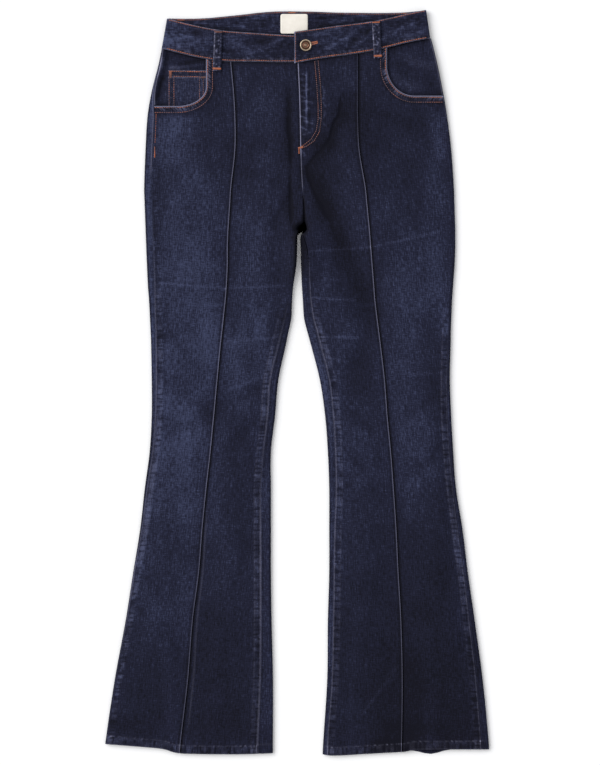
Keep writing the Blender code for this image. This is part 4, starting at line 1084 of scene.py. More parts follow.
def back_panel(name, side, finish):
    """A back panel, from the side seam on top, round under the leg, and round to the inseam on top."""
    leg = LEG[side]
    toward = -side
    wrap = steps((0.0, 1.0, 1 / 11))
    flat = steps((0.0, 1.0, 1 / 26))[1:-1]
    columns = [("side", v) for v in wrap] + [("flat", v) for v in flat]
    columns += [("inside", v) for v in reversed(wrap)]
    step_beside_centre = 1.5
    seam_shift = 1.4  # above the crotch the back's seam lies beside the front's, not under it

    def spot(part, value, down):
        """(across, height, on top, distance from the seam)"""
        outer, inner = leg["outer"](down), leg["inner"](down)
        if part == "side":
            start = fold_travel(abs(leg["outseam"](down) - outer)) - SEAM_GAP / 2
            travel = mix(start, -QUARTER, value)
            across = outer + toward * fold_inset(travel)
            return across, fold_height(travel), travel > 0, start - travel
        flat_far = inner - toward * (GAP / 2 + step_beside_centre * value * (len(wrap) - 1))
        flat_far += seam_shift * (1 - smooth((down - 308) / 12))
        far, height, on_top, from_seam = flat_far, 0.0, False, step_beside_centre * value * (len(wrap) - 1)
        if down > CROTCH:
            start = fold_travel(abs(leg["inseam"](down) - inner)) - SEAM_GAP / 2
            travel = mix(start, -QUARTER, value)
            ramp = min((down - CROTCH) / CROTCH_RAMP, 1.0)
            far = mix(flat_far, inner - toward * fold_inset(travel), ramp)
            height = fold_height(travel) * ramp
            on_top = travel > 0
            from_seam = start - travel
        if part == "inside":
            return far, height, on_top, from_seam
        return mix(outer + toward * FOLD_RADIUS, far, value), 0.0, False, 99.0

    def place(column, row):
        part, value = columns[column]
        row = BACK_ROWS[row]
        on_top = spot(part, value, row)[2]
        waist_edge = WAIST_EDGE[side] if on_top else WAIST_EDGE[0]
        hem_edge = HEM[side] if on_top else back_hem(side)
        across, down = settled(row, lambda d: spot(part, value, d)[0], waist_edge, hem_edge)
        _, height, on_top, from_seam = spot(part, value, down)
        worn, fade_and_shade = 0.0, 0.30 + 0.2 * uneven(across / 60, down / 110, 4.0)
        rise, wear, _ = rope(down + 3.0, from_seam, side * 5 + (0.5 if part == "side" else 0.7), depth=4.0)
        if height > 2 * FOLD_RADIUS - 0.01:
            height += relief(side, across, down, inset_at(side, across, down)) + 0.3 * rise
            fade_and_shade += STRIP_FADE_AND_SHADE[side, part](down)
        if part != "flat" and (down > 150 or not on_top) and (down > CROTCH or part == "side"):
            worn += 0.15 * wear
            edge_at = EDGE_AT[side, part == "side"]
            rubbed = ROPED[side, part == "side"]["edge"](down)
            if edge_at < 1:
                worn += rubbed * bell(from_seam + edge_at, 0.85) * (0.6 + 1.2 * wear)
            # painted shadow in a line beside the seam's rubbed edge
            fade_and_shade -= 0.24 * rubbed * bell(from_seam - 2.7, 1.2)
        if side < 0 and part == "side" and on_top:
            worn += 0.62 * (1 - smooth((down - 225) / 30)) * bell(from_seam - 1.9, 0.95)
        if part == "flat" or not on_top:
            height += max(folds_at(BACK_CREASES, across, down), 0.0) * (1 if part == "flat" else 0)
            fade_and_shade += 0.12 * smooth((down - 200) / 200) * (1 - smooth((down - 500) / 300))
        up = (HEM[side] if on_top else back_hem(side))(across) - down
        if up < HEM_DEPTH + 3:
            line = bell(up - HEM_DEPTH, 1.0)
            worn += 0.3 * line + 0.4 * bell(up, 1.5)
            if on_top and height > 2 * FOLD_RADIUS - 0.01:
                height += HEM_RISE * smooth((HEM_DEPTH - up) / 1.2)
        if height > FOLD_RADIUS:
            fade_and_shade -= crotch_shade(side, across, down)
        height *= crotch_swell(across, down)
        spread = across if part == "flat" else from_seam
        return point(across, down, lift(down) + height), (spread, down), worn, fade_and_shade

    return bend(name, len(columns), len(BACK_ROWS), place, finish, flip=side < 0)


BACK_ROWS = steps((WAIST_ROW, HEM_ROW - HEM_DEPTH - 1, 3.2), (HEM_ROW - HEM_DEPTH - 1, HEM_ROW, 1.6))
cloth = {}


def dressed(piece, part):
    """Puts a piece in the place of the part it stands for."""
    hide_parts(part)
    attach(piece, "root")


# What shows of each panel, laid out flat: its widest, its length and its area, in metres.
Cut = namedtuple("Cut", "width length area")


for side in (-1, 1):
    for part, outer_part in ((f"front_outer_{WORD[side]}", True), (f"front_inner_{WORD[side]}", False)):
        cloth[part] = front_panel(f"{part}_cloth", side, outer_part, denim)
        if outer_part:
            open_mouth(cloth[part], side)
        dressed(cloth[part], part)
    part = f"back_{WORD[side]}"
    cloth[part] = back_panel(f"{part}_cloth", side, denim)
    dressed(cloth[part], part)

# Topstitching: copper-orange core-spun thread, 0.7 mm, in stitches 3.3 mm long, sunk a little into the cloth.
# It shines softly along each stitch and is duller brown where it has rubbed.
COPPER, DULL_COPPER, DARK_COPPER, PURPLE_BROWN = "#a85c38", "#7e4a3c", "#4b302e", "#5c3f44"
STITCH, STITCH_PITCH, THREAD_WIDE = 2.7, 3.3, 0.9


def thread_material(name, dark, middle, light):
    made, tree, shader = new_material(name)
    place = node(tree, "TexCoord").outputs["Object"]
    patchy = node(tree, "TexNoise", {"Vector": place, "Scale": 60.0, "Detail": 2.0}).outputs["Fac"]
    rubbed = node(tree, "ValToRGB", {"Fac": patchy})
    fill(rubbed.color_ramp, (0.32, dark), (0.45, middle), (0.62, light))
    twist = node(tree, "TexNoise", {"Vector": place, "Scale": 2500.0, "Detail": 0.0}).outputs["Fac"]
    dull = node(tree, "MapRange", {"Value": twist, "To Min": 0.45, "To Max": 0.7}).outputs[0]
    plug(tree, shader, {"Base Color": rubbed.outputs["Color"], "Roughness": dull, "Sheen Weight": 0.2})
    return made


copper_thread = thread_material("copper_topstitch_thread", DARK_COPPER, DULL_COPPER, COPPER)
new_thread = thread_material("new_copper_thread", DULL_COPPER, COPPER, "#c27442")
rubbed_thread = thread_material("rubbed_topstitch_thread", DARK_COPPER, PURPLE_BROWN, DULL_COPPER)


def top_of(*cloths, below=False):
    """A function giving the outer face of these cloths at a place, from above or from below."""
    shape = bmesh.new()
    for cloth in cloths:
        shape.from_mesh(cloth.data)
    faces = BVHTree.FromBMesh(shape)
    shape.free()
    sign = -1 if below else 1

    def at(across, down):
        return faces.ray_cast(point(across, down, 60 * sign), Vector((0, 0, -sign)))[0]

    return at


def walk(line, pitch):
    """Places at even distances along a line of (across, down) points, each with its direction."""
    left = pitch / 2
    for (ax, ay), (bx, by) in zip(line, line[1:]):
        length = math.hypot(bx - ax, by - ay)
        at = left
        while at < length:
            t = at / length
            yield mix(ax, bx, t), mix(ay, by, t), (bx - ax) / length, (by - ay) / length
            at += pitch
        left = at - length


def one_stitch(shape, start, end, wide, up=1.0):
    """A stitch as a slim closed grain between two points."""
    along = end - start
    length = along.length
    along.normalize()
    side_way = Vector((0, 0, 1)).cross(along).normalized()
    over = along.cross(side_way)
    turned = Matrix((side_way, over, along)).transposed().to_4x4()
    sized = Matrix.Diagonal((wide / 2 * MM, wide * 0.38 * MM, length / 2, 1))
    middle = (start + end) / 2 + Vector((0, 0, 0.12 * MM * up))
    laid_in = Matrix.Translation(middle) @ turned @ sized
    bmesh.ops.create_uvsphere(shape, u_segments=6, v_segments=5, radius=1.0, matrix=laid_in)


def sew(shape, line, top, pitch=STITCH_PITCH, length=STITCH, wide=THREAD_WIDE, up=1.0):
    """A row of stitches along a line, on the cloth that top gives."""
    row = bmesh.new()
    for across, down, x, y in walk(line, pitch):
        half = length / 2
        start, end = top(across - x * half, down - y * half), top(across + x * half, down + y * half)
        if start and end and abs(start.z - end.z) < 1.2 * MM:
            one_stitch(row, start, end, wide, up)
    sewn = bpy.data.meshes.new("row")
    row.to_mesh(sewn)
    row.free()
    shape.from_mesh(sewn)
    bpy.data.meshes.remove(sewn)


def bartack(shape, across, down, slope, width, height, top):
    """A bar of close stitches, width along the slope and each stitch as long as height."""
    count = max(3, round(width / 0.75))
    cx, cy = math.cos(slope), math.sin(slope)
    for i in range(count):
        off = ((i + 0.5) / count - 0.5) * width
        x, y = across + off * cx, down + off * cy
        start = top(x + cy * height / 2, y - cx * height / 2)
        end = top(x - cy * height / 2, y + cx * height / 2)
        if start and end:
            level = max(start.z, end.z) + 0.1 * MM
            start.z = end.z = level
            one_stitch(shape, start, end, 0.9)


def threads(name, shape, finish=copper_thread):
    made = finished(name, shape, finish)
    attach(made, "root")


shape = bmesh.new()
top = top_of(cloth["front_outer_right"])
outseam = LEG[-1]["outseam"]
sew(shape, [(outseam(d) + 2.6, d) for d in range(152, 200, 4)], top)
bartack(shape, outseam(210) + 2.8, 208, math.pi / 2, 16, 1.7, top)
threads("outseam_topstitching", shape)

# ---- The front pockets
# Behind each curved mouth lies its facing, a piece of the same denim that is sewn into the side seam. The
# right one carries the coin pocket, folded over at its top and sewn down with two rows of copper thread.

FACING_LEVEL, COIN_LEVEL = 2.5, 3.9
FACING_BEYOND, FACING_DIP, FACING_CORNER, EDGE = 12.0, 9.0, 7.0, 0.4
COIN = (-188.0, -127.0, 88.6, 150.0)
POCKET_CREASES = table(
    Fold,
    (-196, 84, -150, 96, 6, 0.5), (-192, 130, -176, 100, 7, 0.5), (-160, 78, -140, 84, 6, -0.4),
    (150, 70, 196, 84, 9, 0.5), (146, 100, 180, 120, 10, 0.5), (140, 58, 160, 96, 9, -0.4),
    (205, 100, 200, 124, 4, 0.5), (-172, 80, -138, 74, 2.6, -0.9), (-184, 84.5, -138, 81, 2.6, 0.8),
    (-188, 68, -196, 100, 3.0, -1.0), (-196, 100, -204, 130, 3.0, -1.5), (-196, 72, -204, 96, 3.0, 1.3),
    (176, 122, 208, 122, 6.0, -0.6), (204, 88, 206, 100, 6.0, -0.5), (200, 112, 208, 128, 9.0, -0.6),
)  # fmt: skip


def rounded_edge(distance, radius=0.9):
    """How far the surface has dropped at a distance from a folded edge."""
    d = min(max(distance, 0.0), radius)
    return radius - math.sqrt(radius**2 - (radius - d) ** 2)


def facing(side):
    leg, pocket = LEG[side], POCKETS[side]
    toward = -side
    inner = pocket.across + toward * FACING_BEYOND
    columns = steps((0, 0.16, 0.012), (0.16, 1, 0.026))
    corner = (pocket.down - 1.5, pocket.down - 0.5)
    rows = steps((WAIST_ROW, corner[0], 1.6), (*corner, 1.0), (corner[1], pocket.down + FACING_BEYOND, 1.6))

    def across_of(share, down):
        outer = leg["outer"](down)
        start = fold_travel(abs(leg["outseam"](down) - outer)) + GAP
        if down > pocket.down - 1:
            start += FACING_CORNER
        end = fold_travel(abs(inner - outer))
        return outer + toward * fold_inset(mix(start, end, share)), share * (end - start)

    def place(column, row):
        waist = max(0.0, 1 - (rows[row] - WAIST_ROW) / (corner[0] - WAIST_ROW))
        down = rows[row]
        for _ in range(4):
            across, from_seam = across_of(columns[column], down)
            down = rows[row] + waist * (WAIST_EDGE[side](across) + GAP - WAIST_ROW)
        seam_height = front_height(side, across, down) - lift(down)
        fallen = smooth((from_seam - EDGE) / FACING_DIP) if down < pocket.down - 1 else 1.0
        creased = folds_at(POCKET_CREASES, across, down)
        height = mix(seam_height, FACING_LEVEL, fallen) + creased * fallen * 0.6
        height += 0.25 * uneven(across / 12, down / 12, 2.0) * fallen
        # the seam edge and the creases' ridges rubbed paler; painted shadow under the waistband and painted
        # shade in the creases' troughs
        worn = 0.75 * bell(from_seam, 1.3) + max(creased, 0) * 0.25
        fade_and_shade = 0.30 - 0.22 * bell(down - WAIST_EDGE[side](across), 6)
        fade_and_shade += creased * 0.2
        # painted shade under the front's edge at the pocket mouth
        under_front = mouth_distance(side, across, down) + 7
        fade_and_shade -= 0.30 * math.exp(-((under_front / 4) ** -2)) if under_front > 0 else 0.0
        return point(across, down, lift(down) + height), (across, down), worn, fade_and_shade

    return bend(f"pocket_facing_{WORD[side]}_cloth", len(columns), len(rows), place, denim, flip=side > 0)


FACING_CUTS = {-1: Cut(0.088, 0.095, 0.0073), 1: Cut(0.093, 0.095, 0.0077)}
for side in (-1, 1):
    part = f"pocket_facing_{WORD[side]}"
    cloth[part] = facing(side)
    dressed(cloth[part], part)
    cut = FACING_CUTS[side]
    flat, under = (cut.width, cut.length), f"back_{WORD[side]}_cloth"


def coin_pocket():
    low, high, top_edge, bottom = COIN
    columns = steps((low, low + 12, 0.8), (low + 12, high, 1.4))
    rows = steps((top_edge, top_edge + 12, 0.8), (top_edge + 12, bottom, 1.4))

    def place(column, row):
        across, down = columns[column], rows[row]
        from_side, from_top = across - low, down - top_edge
        height = COIN_LEVEL - 0.9
        height += 0.9 * (1 - rounded_edge(from_side) / 0.9) * (1 - rounded_edge(from_top) / 0.9)
        rise_a, wear_a, _ = rope(down, from_side, 71.0, pitch=5.0, depth=8.0)
        rise_b, wear_b, _ = rope(across, from_top, 77.0, pitch=5.0, depth=10.0)
        height += 0.25 * max(rise_a, rise_b) + 0.3 * uneven(across / 14, down / 14, 6.0)
        worn = 0.35 * max(wear_a, wear_b) + 0.35 * bell(from_top, 1.2)
        worn += 0.25 * rope(down, abs(across + 140), 73.0, pitch=5.0, depth=5.0)[1]
        worn += 0.55 * max(uneven(across / 2.6, down / 2.6, 21.0), 0.0)
        worn += 0.4 * bell(from_top - 10.5, 1.4)
        fade_and_shade = 0.47 - 0.2 * bell(from_top - 5.6, 2.6) - 0.2 * bell(from_side - 5, 2.6)
        fade_and_shade -= 0.14 * smooth((from_top - 34) / 18)
        return point(across, down, lift(down) + height), (across, down), worn, fade_and_shade

    return bend("coin_pocket_cloth", len(columns), len(rows), place, denim)


cloth["coin_pocket"] = coin_pocket()
dressed(cloth["coin_pocket"], "coin_pocket")

for side in (-1, 1):
    shape = bmesh.new()
    top = top_of(cloth[f"front_outer_{WORD[side]}"])
    sew(shape, mouth_line(side, 2.4), top, wide=1.15)
    threads(f"pocket_mouth_topstitching_{WORD[side]}", shape)
    shape = bmesh.new()
    sew(shape, mouth_line(side, 9.4), top, wide=1.3)
    threads(f"pocket_mouth_outer_topstitching_{WORD[side]}", shape, rubbed_thread)
    rows = [f"pocket_mouth_{row}topstitching_{WORD[side]}" for row in ("", "outer_")]
    if side < 0:
        rows.append("outseam_topstitching")

shape = bmesh.new()
low, high, first, last = COIN
top = top_of(cloth["coin_pocket"])
sew(shape, [(low + 1, first + 1.6), (high - 1, first + 2.6)], top, length=3.0, wide=1.7)
sew(shape, [(low + 8, first + 9.0), (high - 1, first + 10.0)], top, wide=1.4)
bartack(shape, low + 3.5, first + 6.0, math.pi / 2, 10, 4.6, top)
bartack(shape, -136.0, first + 10.5, 0.0, 8, 2.8, top)
threads("coin_pocket_topstitching", shape)
shape = bmesh.new()
for across in (low + 1.6, low + 8.6, -142.0, -136.6):
    sew(shape, [(across, first + 10), (across, last - 2)], top, wide=1.4)
threads("coin_pocket_side_topstitching", shape, rubbed_thread)

# ---- The fly
# The left front laps over the right one. Under it lie a shield of denim and the zip: brass teeth on a navy
# tape. Two rows of copper thread curve down its lap to a bartack at the foot of the opening.

SHIELD = (-6.0, 36.0, 64.0, 199.0)  # two sides from the fly's edge, then top and bottom
ZIP_TAPE = (1.0, 25.0, 81.0, 196.0)
ZIP_CHAIN = (10.5, 15.0, 82.0, 192.0)
SHIELD_LEVEL, TAPE_LEVEL, TAPE_PLY, CHAIN_LEVEL = 2.5, 3.6, 0.8, 5.3
FOOT_OF_FLY = (5.4, 201.5)
FLAT_COLUMNS, FLAT_ROWS = 13, 61  # of the mesh of the shield and the tape

zip_cloth, tree, shader = new_material("navy_woven_tape")
place = node(tree, "TexCoord").outputs["Object"]
ribs = node(tree, "TexWave", {"Vector": place, "Scale": 600.0, "Distortion": 0.4}, bands_direction="Y")
shades = {"Factor": ribs.outputs["Fac"], "A": colour("#13151f"), "B": colour("#232636")}
tint = node(tree, "Mix", shades, data_type="RGBA")
plug(tree, shader, {"Base Color": tint.outputs["Result"], "Roughness": 0.8})

# Antique brass: a warm metal with brown in its hollows, dull except where rubbed.
BRASS_BRIGHT, BRASS_BROWN = "#c9b184", "#4a3826"


def brass_material(name, brown, bright):
    made, tree, shader = new_material(name)
    place = node(tree, "TexCoord").outputs["Object"]
    specks = {"Vector": place, "Scale": 700.0, "Detail": 4.0, "Roughness": 0.7}
    speck = node(tree, "TexNoise", specks).outputs["Fac"]
    tone = node(tree, "ValToRGB", {"Fac": speck})
    fill(tone.color_ramp, (0.3, brown), (0.75, bright))
    rough = node(tree, "MapRange", {"Value": speck, "To Min": 0.5, "To Max": 0.25}).outputs[0]
    bump = node(tree, "Bump", {"Height": speck, "Strength": 0.3, "Distance": 0.0003}).outputs[0]
    looks = {"Base Color": tone.outputs["Color"], "Roughness": rough, "Metallic": 1.0, "Normal": bump}
    plug(tree, shader, looks)
    return made


def flat_piece(name, box, level, finish, thickness):
    """A flat rectangular piece, box = (low across, high across, top, bottom) from the fly's edge."""
    low, high, first, last = box
    edge = LEG[-1]["inner"]((first + last) / 2)

    def place(column, row):
        across = edge + mix(low, high, column / (FLAT_COLUMNS - 1))
        down = mix(first, last, row / (FLAT_ROWS - 1))
        return point(across, down, lift(down) + level), (across, down), 0.0, 0.25

    return bend(name, FLAT_COLUMNS, FLAT_ROWS, place, finish, thickness)


cloth["fly_shield"] = flat_piece("fly_shield_cloth", SHIELD, SHIELD_LEVEL, denim, DENIM)
dressed(cloth["fly_shield"], "fly_shield")
cloth["zip_tape"] = flat_piece("zip_tape_cloth", ZIP_TAPE, TAPE_LEVEL, zip_cloth, TAPE_PLY)
dressed(cloth["zip_tape"], "zip_tape")
for part, box, under in (("fly_shield", SHIELD, "back_left"), ("zip_tape", ZIP_TAPE, "fly_shield")):
    low, high, first, last = box

TOOTH_PITCH, TOOTH = 1.9, (2.9, 0.85, 1.3)  # of each side's teeth; a tooth across, along and high
shape = bmesh.new()
low, high, first, last = ZIP_CHAIN
middle = LEG[-1]["inner"]((first + last) / 2) + (low + high) / 2
for i in range(int((last - first) / TOOTH_PITCH * 2)):
    down = first + 0.5 + i * TOOTH_PITCH / 2
    across = middle + (0.75 if i % 2 else -0.75)
    spot = Matrix.Translation(point(across, down, lift(down) + CHAIN_LEVEL - 0.7))
    bmesh.ops.create_cube(shape, size=1.0, matrix=spot @ Matrix.Diagonal((*[v * MM for v in TOOTH], 1)))
teeth = finished("zip_teeth", shape, brass_material("zip_brass", BRASS_BROWN, BRASS_BRIGHT), smooth=False)
dressed(teeth, "zip_chain")

shape = bmesh.new()
top = top_of(cloth["front_inner_left"], cloth["front_outer_left"], cloth["front_inner_right"])
for line in FLY_ROWS:
    sew(shape, line, top, pitch=3.0, length=2.5, wide=1.4)
threads("fly_topstitching", shape, rubbed_thread)
shape = bmesh.new()
bartack(shape, *FOOT_OF_FLY, -0.25, 7.5, 3.2, top)
bartack(shape, FOOT_OF_FLY[0] - 2.4, FOOT_OF_FLY[1] + 5.5, math.pi / 2, 7.0, 1.9, top)
threads("fly_bartack", shape)

# ---- The waistband
# Three lengths of doubled denim, turned in at the top and sewn down onto the panels with copper thread. The
# left end laps over the right one, and both roll over the sides to meet the back band, lying on its loops.

BAND, BAND_FOLD_RADIUS = 2.4, 2.95
BAND_CORNERS = {-1: (-189.5, -197.4), 1: (188.4, 194.4)}
BAND_UNDER = 6.0
OVERLAP_FROM, UNDERLAP_TO = -4.0, 38.0
OVERLAP_FALLS = (42.0, 82.0)
BAND_DEEP = 44.0
BAND_CREASES = table(
    Fold,
    (26, 40, 62, 26, 3.5, 0.5), (44, 60, 84, 34, 3.5, 0.5), (30, 64, 52, 52, 3.0, 0.4),
    (70, 58, 104, 30, 4.0, -0.5), (92, 50, 112, 34, 3.0, 0.4), (128, 44, 166, 22, 5.0, 0.5),
    (140, 22, 180, 14, 5.0, -0.4), (160, 40, 188, 30, 5.0, 0.4), (4, 40, 4, 68, 3.0, -0.4),
    (-20, 44, -52, 60, 5.0, 0.5), (-40, 42, -74, 50, 4.5, -0.5), (-62, 66, -96, 46, 5.0, 0.5),
    (-84, 70, -110, 58, 4.0, -0.4), (-126, 40, -158, 56, 6.0, 0.5), (-140, 36, -184, 30, 5.0, -0.5),
    (-160, 62, -188, 44, 5.0, 0.5),
)  # fmt: skip
BAND_WASHES = table(
    Fold,
    (-190, 22, -165, 40, 14, 0.24), (-196, 45, -190, 54, 9, 0.34), (-62, 62, -36, 66, 7, -0.09),
    (-150, 38, -64, 54, 16, 0.05), (-160, 56, -158, 60, 10, -0.12), (-51, 46, -27, 56, 11, -0.14),
    (131, 42, 131, 48, 10, -0.10), (40, 45, 70, 50, 14, 0.08), (-20, 50, -8, 62, 10, -0.14),
    (2, 48, 24, 62, 10, -0.10), (22, 52, 46, 58, 9, -0.10),
)  # fmt: skip


def band_looks(side, share, across, down, deep):
    """(rise, wear, dye and painted shade) on a waistband: roped along both edges, wrinkled and rubbed
    between, its wrinkles paler on their ridges and darker with painted shade in their troughs.
    """
    from_top, from_bottom = share * deep, (1 - share) * deep
    drop = rounded_edge(from_top, 1.2) + rounded_edge(from_bottom, 0.8)
    low_rise, low_wear, low_dye_and_shade = rope(across, from_bottom, side * 13 + 1.0, pitch=6.5, depth=7.0, edge=0.7)
    rubbed = 0.8 if side < 0 else 0.6
    top_rise, top_wear, _ = rope(across, from_top, side * 17 + 2.0, pitch=6.0, depth=5.0, edge=rubbed)
    wrinkle = 1.2 * folds_at(BAND_CREASES, across, down) + 0.5 * uneven(across / 11, down / 9, side + 3.0)
    mottle = uneven(across / 5, down / 3.5, side + 6.0)
    rise = 0.35 * (low_rise + top_rise) + wrinkle - drop
    worn = low_wear + top_wear + max(wrinkle, 0.0) ** 1.5 * 0.15 + 0.25 * max(mottle, 0.0)
    # the wrinkles are darker with painted shade in their troughs
    fade_and_shade = 0.35 + 0.3 * wrinkle + 0.22 * mottle + 0.6 * low_dye_and_shade - 0.10 * bell(from_bottom - 4, 3)
    fade_and_shade += folds_at(BAND_WASHES, across, down) if side else 0.0
    return 1.3 * rise, worn, fade_and_shade


def band_front(side):
    end = UNDERLAP_TO if side < 0 else OVERLAP_FROM
    quarter = math.pi / 2 * BAND_FOLD_RADIUS
    corner_top, corner_bottom = BAND_CORNERS[side]
    flat = [d / 190 for d in steps((0, 4, 0.8), (4, 36, 1.0), (36, 190, 1.6))]
    fold = [*steps((quarter, -quarter, 1.2))[1:], -quarter - (BAND_UNDER - BAND_FOLD_RADIUS)]
    turning = BAND_DEEP - 9
    rows = [d / BAND_DEEP for d in steps((0, 3.0, 0.5), (3.0, turning, 1.3), (turning, BAND_DEEP, 0.7))]

    def place(column, row):
        share = rows[row]
        corner = mix(corner_top, corner_bottom, share)
        front_share = 1.0
        if column < len(flat):
            across = mix(end, corner - side * BAND_FOLD_RADIUS, flat[column])
            height = 2 * BAND_FOLD_RADIUS
        else:
            travel = fold[column - len(flat)]
            across = corner - side * fold_inset(travel, BAND_FOLD_RADIUS)
            height = fold_height(travel, BAND_FOLD_RADIUS)
            front_share = height / (2 * BAND_FOLD_RADIUS)
        if side > 0:
            low, high = OVERLAP_FALLS
            height += (BAND + GAP) * (1 - smooth((across - low) / (high - low)))
        top_edge = mix(BAND_TOP[0](across), BAND_TOP[side](across), front_share)
        bottom = mix(WAIST_EDGE[0](across), WAIST_EDGE[side](across), front_share) + GAP * 0.8
        down = mix(top_edge, bottom, share)
        rise, worn, fade_and_shade = band_looks(side, share, across, down, bottom - top_edge)
        from_end = abs(across - end)
        if side > 0:
            rise -= rounded_edge(from_end, 1.0)
            worn += 0.6 * bell(from_end - 0.8, 1.2) if front_share == 1.0 else 0.0
        rise *= smooth((front_share - 0.3) / 0.7)
        return point(across, down, WAIST_LIFT + height + rise), (down, across), worn, fade_and_shade

    name = f"waistband_{WORD[side]}_cloth"
    return bend(name, len(flat) + len(fold), len(rows), place, denim, BAND, flip=side < 0)


def band_back():
    columns = steps((0, 1, 1 / 230))
    rows = [d / 40 for d in steps((0, 3.0, 0.6), (3.0, 34, 1.4), (34, 40, 0.8))]

    def place(column, row):
        share = rows[row]
        low = mix(*BAND_CORNERS[-1], share) + BAND_UNDER + GAP
        high = mix(*BAND_CORNERS[1], share) - BAND_UNDER - GAP
        across = mix(low, high, columns[column])
        top_edge, bottom = BAND_TOP[0](across), WAIST_EDGE[0](across)
        down = mix(top_edge, bottom, share)
        rise, worn, fade_and_shade = band_looks(0, share, across + 7, down, bottom - top_edge)
        above_front = BAND_TOP[-1 if across < 0 else 1](across) - down
        fade_and_shade += 0.24 * uneven(across / 34, down / 3.6, 9.0) - 0.16 * bell(across - 34, 18)
        # painted shade on the back band above the front band's top edge, and where the front band covers it
        fade_and_shade -= 0.25 * (bell(above_front, 3) if above_front > 0 else 1.0)
        return point(across, down, WAIST_LIFT - 0.5 * rise + 0.1), (down, across), worn, fade_and_shade

    return bend("waistband_back_cloth", len(columns), len(rows), place, denim, BAND, flip=True)


for side in (-1, 1):
    cloth[f"waistband_{WORD[side]}"] = band_front(side)
cloth["waistband_back"] = band_back()

# The buttonhole: an eye round the shank and a slit along the band, oversewn all round with copper thread.
BUTTON_AT = Vector((12.8, 53.0))
HOLE_EYE, HOLE_SLIT, HOLE_END, HOLE_SLOPE = 3.2, 1.0, 17.6, math.radians(15)
HOLE_STITCHES = 36  # along each side of the slit
hole_along = Vector((math.cos(HOLE_SLOPE), -math.sin(HOLE_SLOPE)))
hole_over = Vector((-hole_along.y, hole_along.x))


def hole_distance(across, down):
    spot = Vector((across, down)) - BUTTON_AT
    along, over = spot.dot(hole_along), abs(spot.dot(hole_over))
    slit = math.hypot(max(along - HOLE_END, 0.0), over) - HOLE_SLIT if along > 0 else 99.0
    return min(spot.length - HOLE_EYE, slit)


open_hole(cloth["waistband_left"], hole_distance, (5, 35, 42, 62), 1)
for part in ("waistband_right", "waistband_left", "waistband_back"):
    dressed(cloth[part], part)

shape = bmesh.new()
top = top_of(cloth["waistband_left"])
for sign in (-1, 1):
    for i in range(HOLE_STITCHES):
        share = i / (HOLE_STITCHES - 1)
        middle = BUTTON_AT + hole_along * mix(2.6, HOLE_END, share)
        near, far = [middle + hole_over * (sign * off) for off in (0.1, 3.1 - 1.1 * share)]
        start, end = top(*near), top(*far)
        if not start and end:
            start = Vector((near.x * MM, (LENGTH / 2 - near.y) * MM, end.z - 0.1 * MM))
        if start and end:
            one_stitch(shape, start + Vector((0, 0, 0.15 * MM)), end, 0.7)
bartack(shape, *(BUTTON_AT + hole_along * (HOLE_END + 1.2)), math.pi / 2 - HOLE_SLOPE, 2.6, 1.8, top)
threads("buttonhole_stitching", shape, new_thread)

shape = bmesh.new()
for side, low, high in ((-1, -190, -3), (1, -2.5, 190)):
    top = top_of(cloth[f"waistband_{WORD[side]}"])
    spots = steps((low, high, 6))
    sew(shape, [(x, BAND_TOP[side](x) + 1.7) for x in spots], top, length=3.0, wide=1.1)
    sew(shape, [(x, WAIST_EDGE[side](x) - 1.9) for x in spots], top, length=3.0, wide=1.5)
sew(shape, [(-2.0, d) for d in range(36, 78, 3)], top)
inner = top_of(cloth["waistband_back"])
outer = top_of(cloth["waistband_back"], below=True)
spots = steps((-182, 184, 6))


def flat_top(across, down):
    """The top of the back band, which is a ply above the face that its cloth shows."""
    found = inner(across, down)
    return found + Vector((0, 0, BAND * MM)) if found else None


sew(shape, [(x, BAND_TOP[0](x) + 2.0) for x in spots], flat_top)
for offset in (2.0, -2.0):
    sew(shape, [(x, (BAND_TOP if offset > 0 else WAIST_EDGE)[0](x) + offset) for x in spots], outer, up=-1.0)
threads("waistband_topstitching", shape)
for word, under, sewn in (
    ("right", ["front_inner_right_cloth"], ()),
    ("left", ["waistband_right_cloth"], ["buttonhole_stitching"]),
    ("back", ["back_right_cloth", "back_left_cloth"], ()),
):
    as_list(under)
    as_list(sewn)

# ---- The belt loops
# Five straps of folded denim, two over the front band and three under the back one, each held by a bartack at
# both ends. Their folded sides are roped and rubbed.

LOOP_PLY, LOOP_WIDTH, LOOP_ARCH = 2.0, 12.0, 1.1
UNDER_STITCHES = 14  # in a row across the underside of a back loop
Loop = namedtuple("Loop", "name across_top top across_bottom bottom over rests_on")
LOOPS = (
    Loop("belt_loop_front_right", -114.5, 31.5, -116.5, 90.5, True, "waistband_right_cloth"),
    Loop("belt_loop_front_left", 115.0, 17.5, 118.0, 72.0, True, "waistband_left_cloth"),
    Loop("belt_loop_back_right", -169.0, 13.5, -169.5, 63.0, False, None),
    Loop("belt_loop_back_middle", -7.0, 3.0, -7.0, 52.0, False, None),
    Loop("belt_loop_back_left", 160.0, 4.0, 160.5, 53.0, False, None),
)


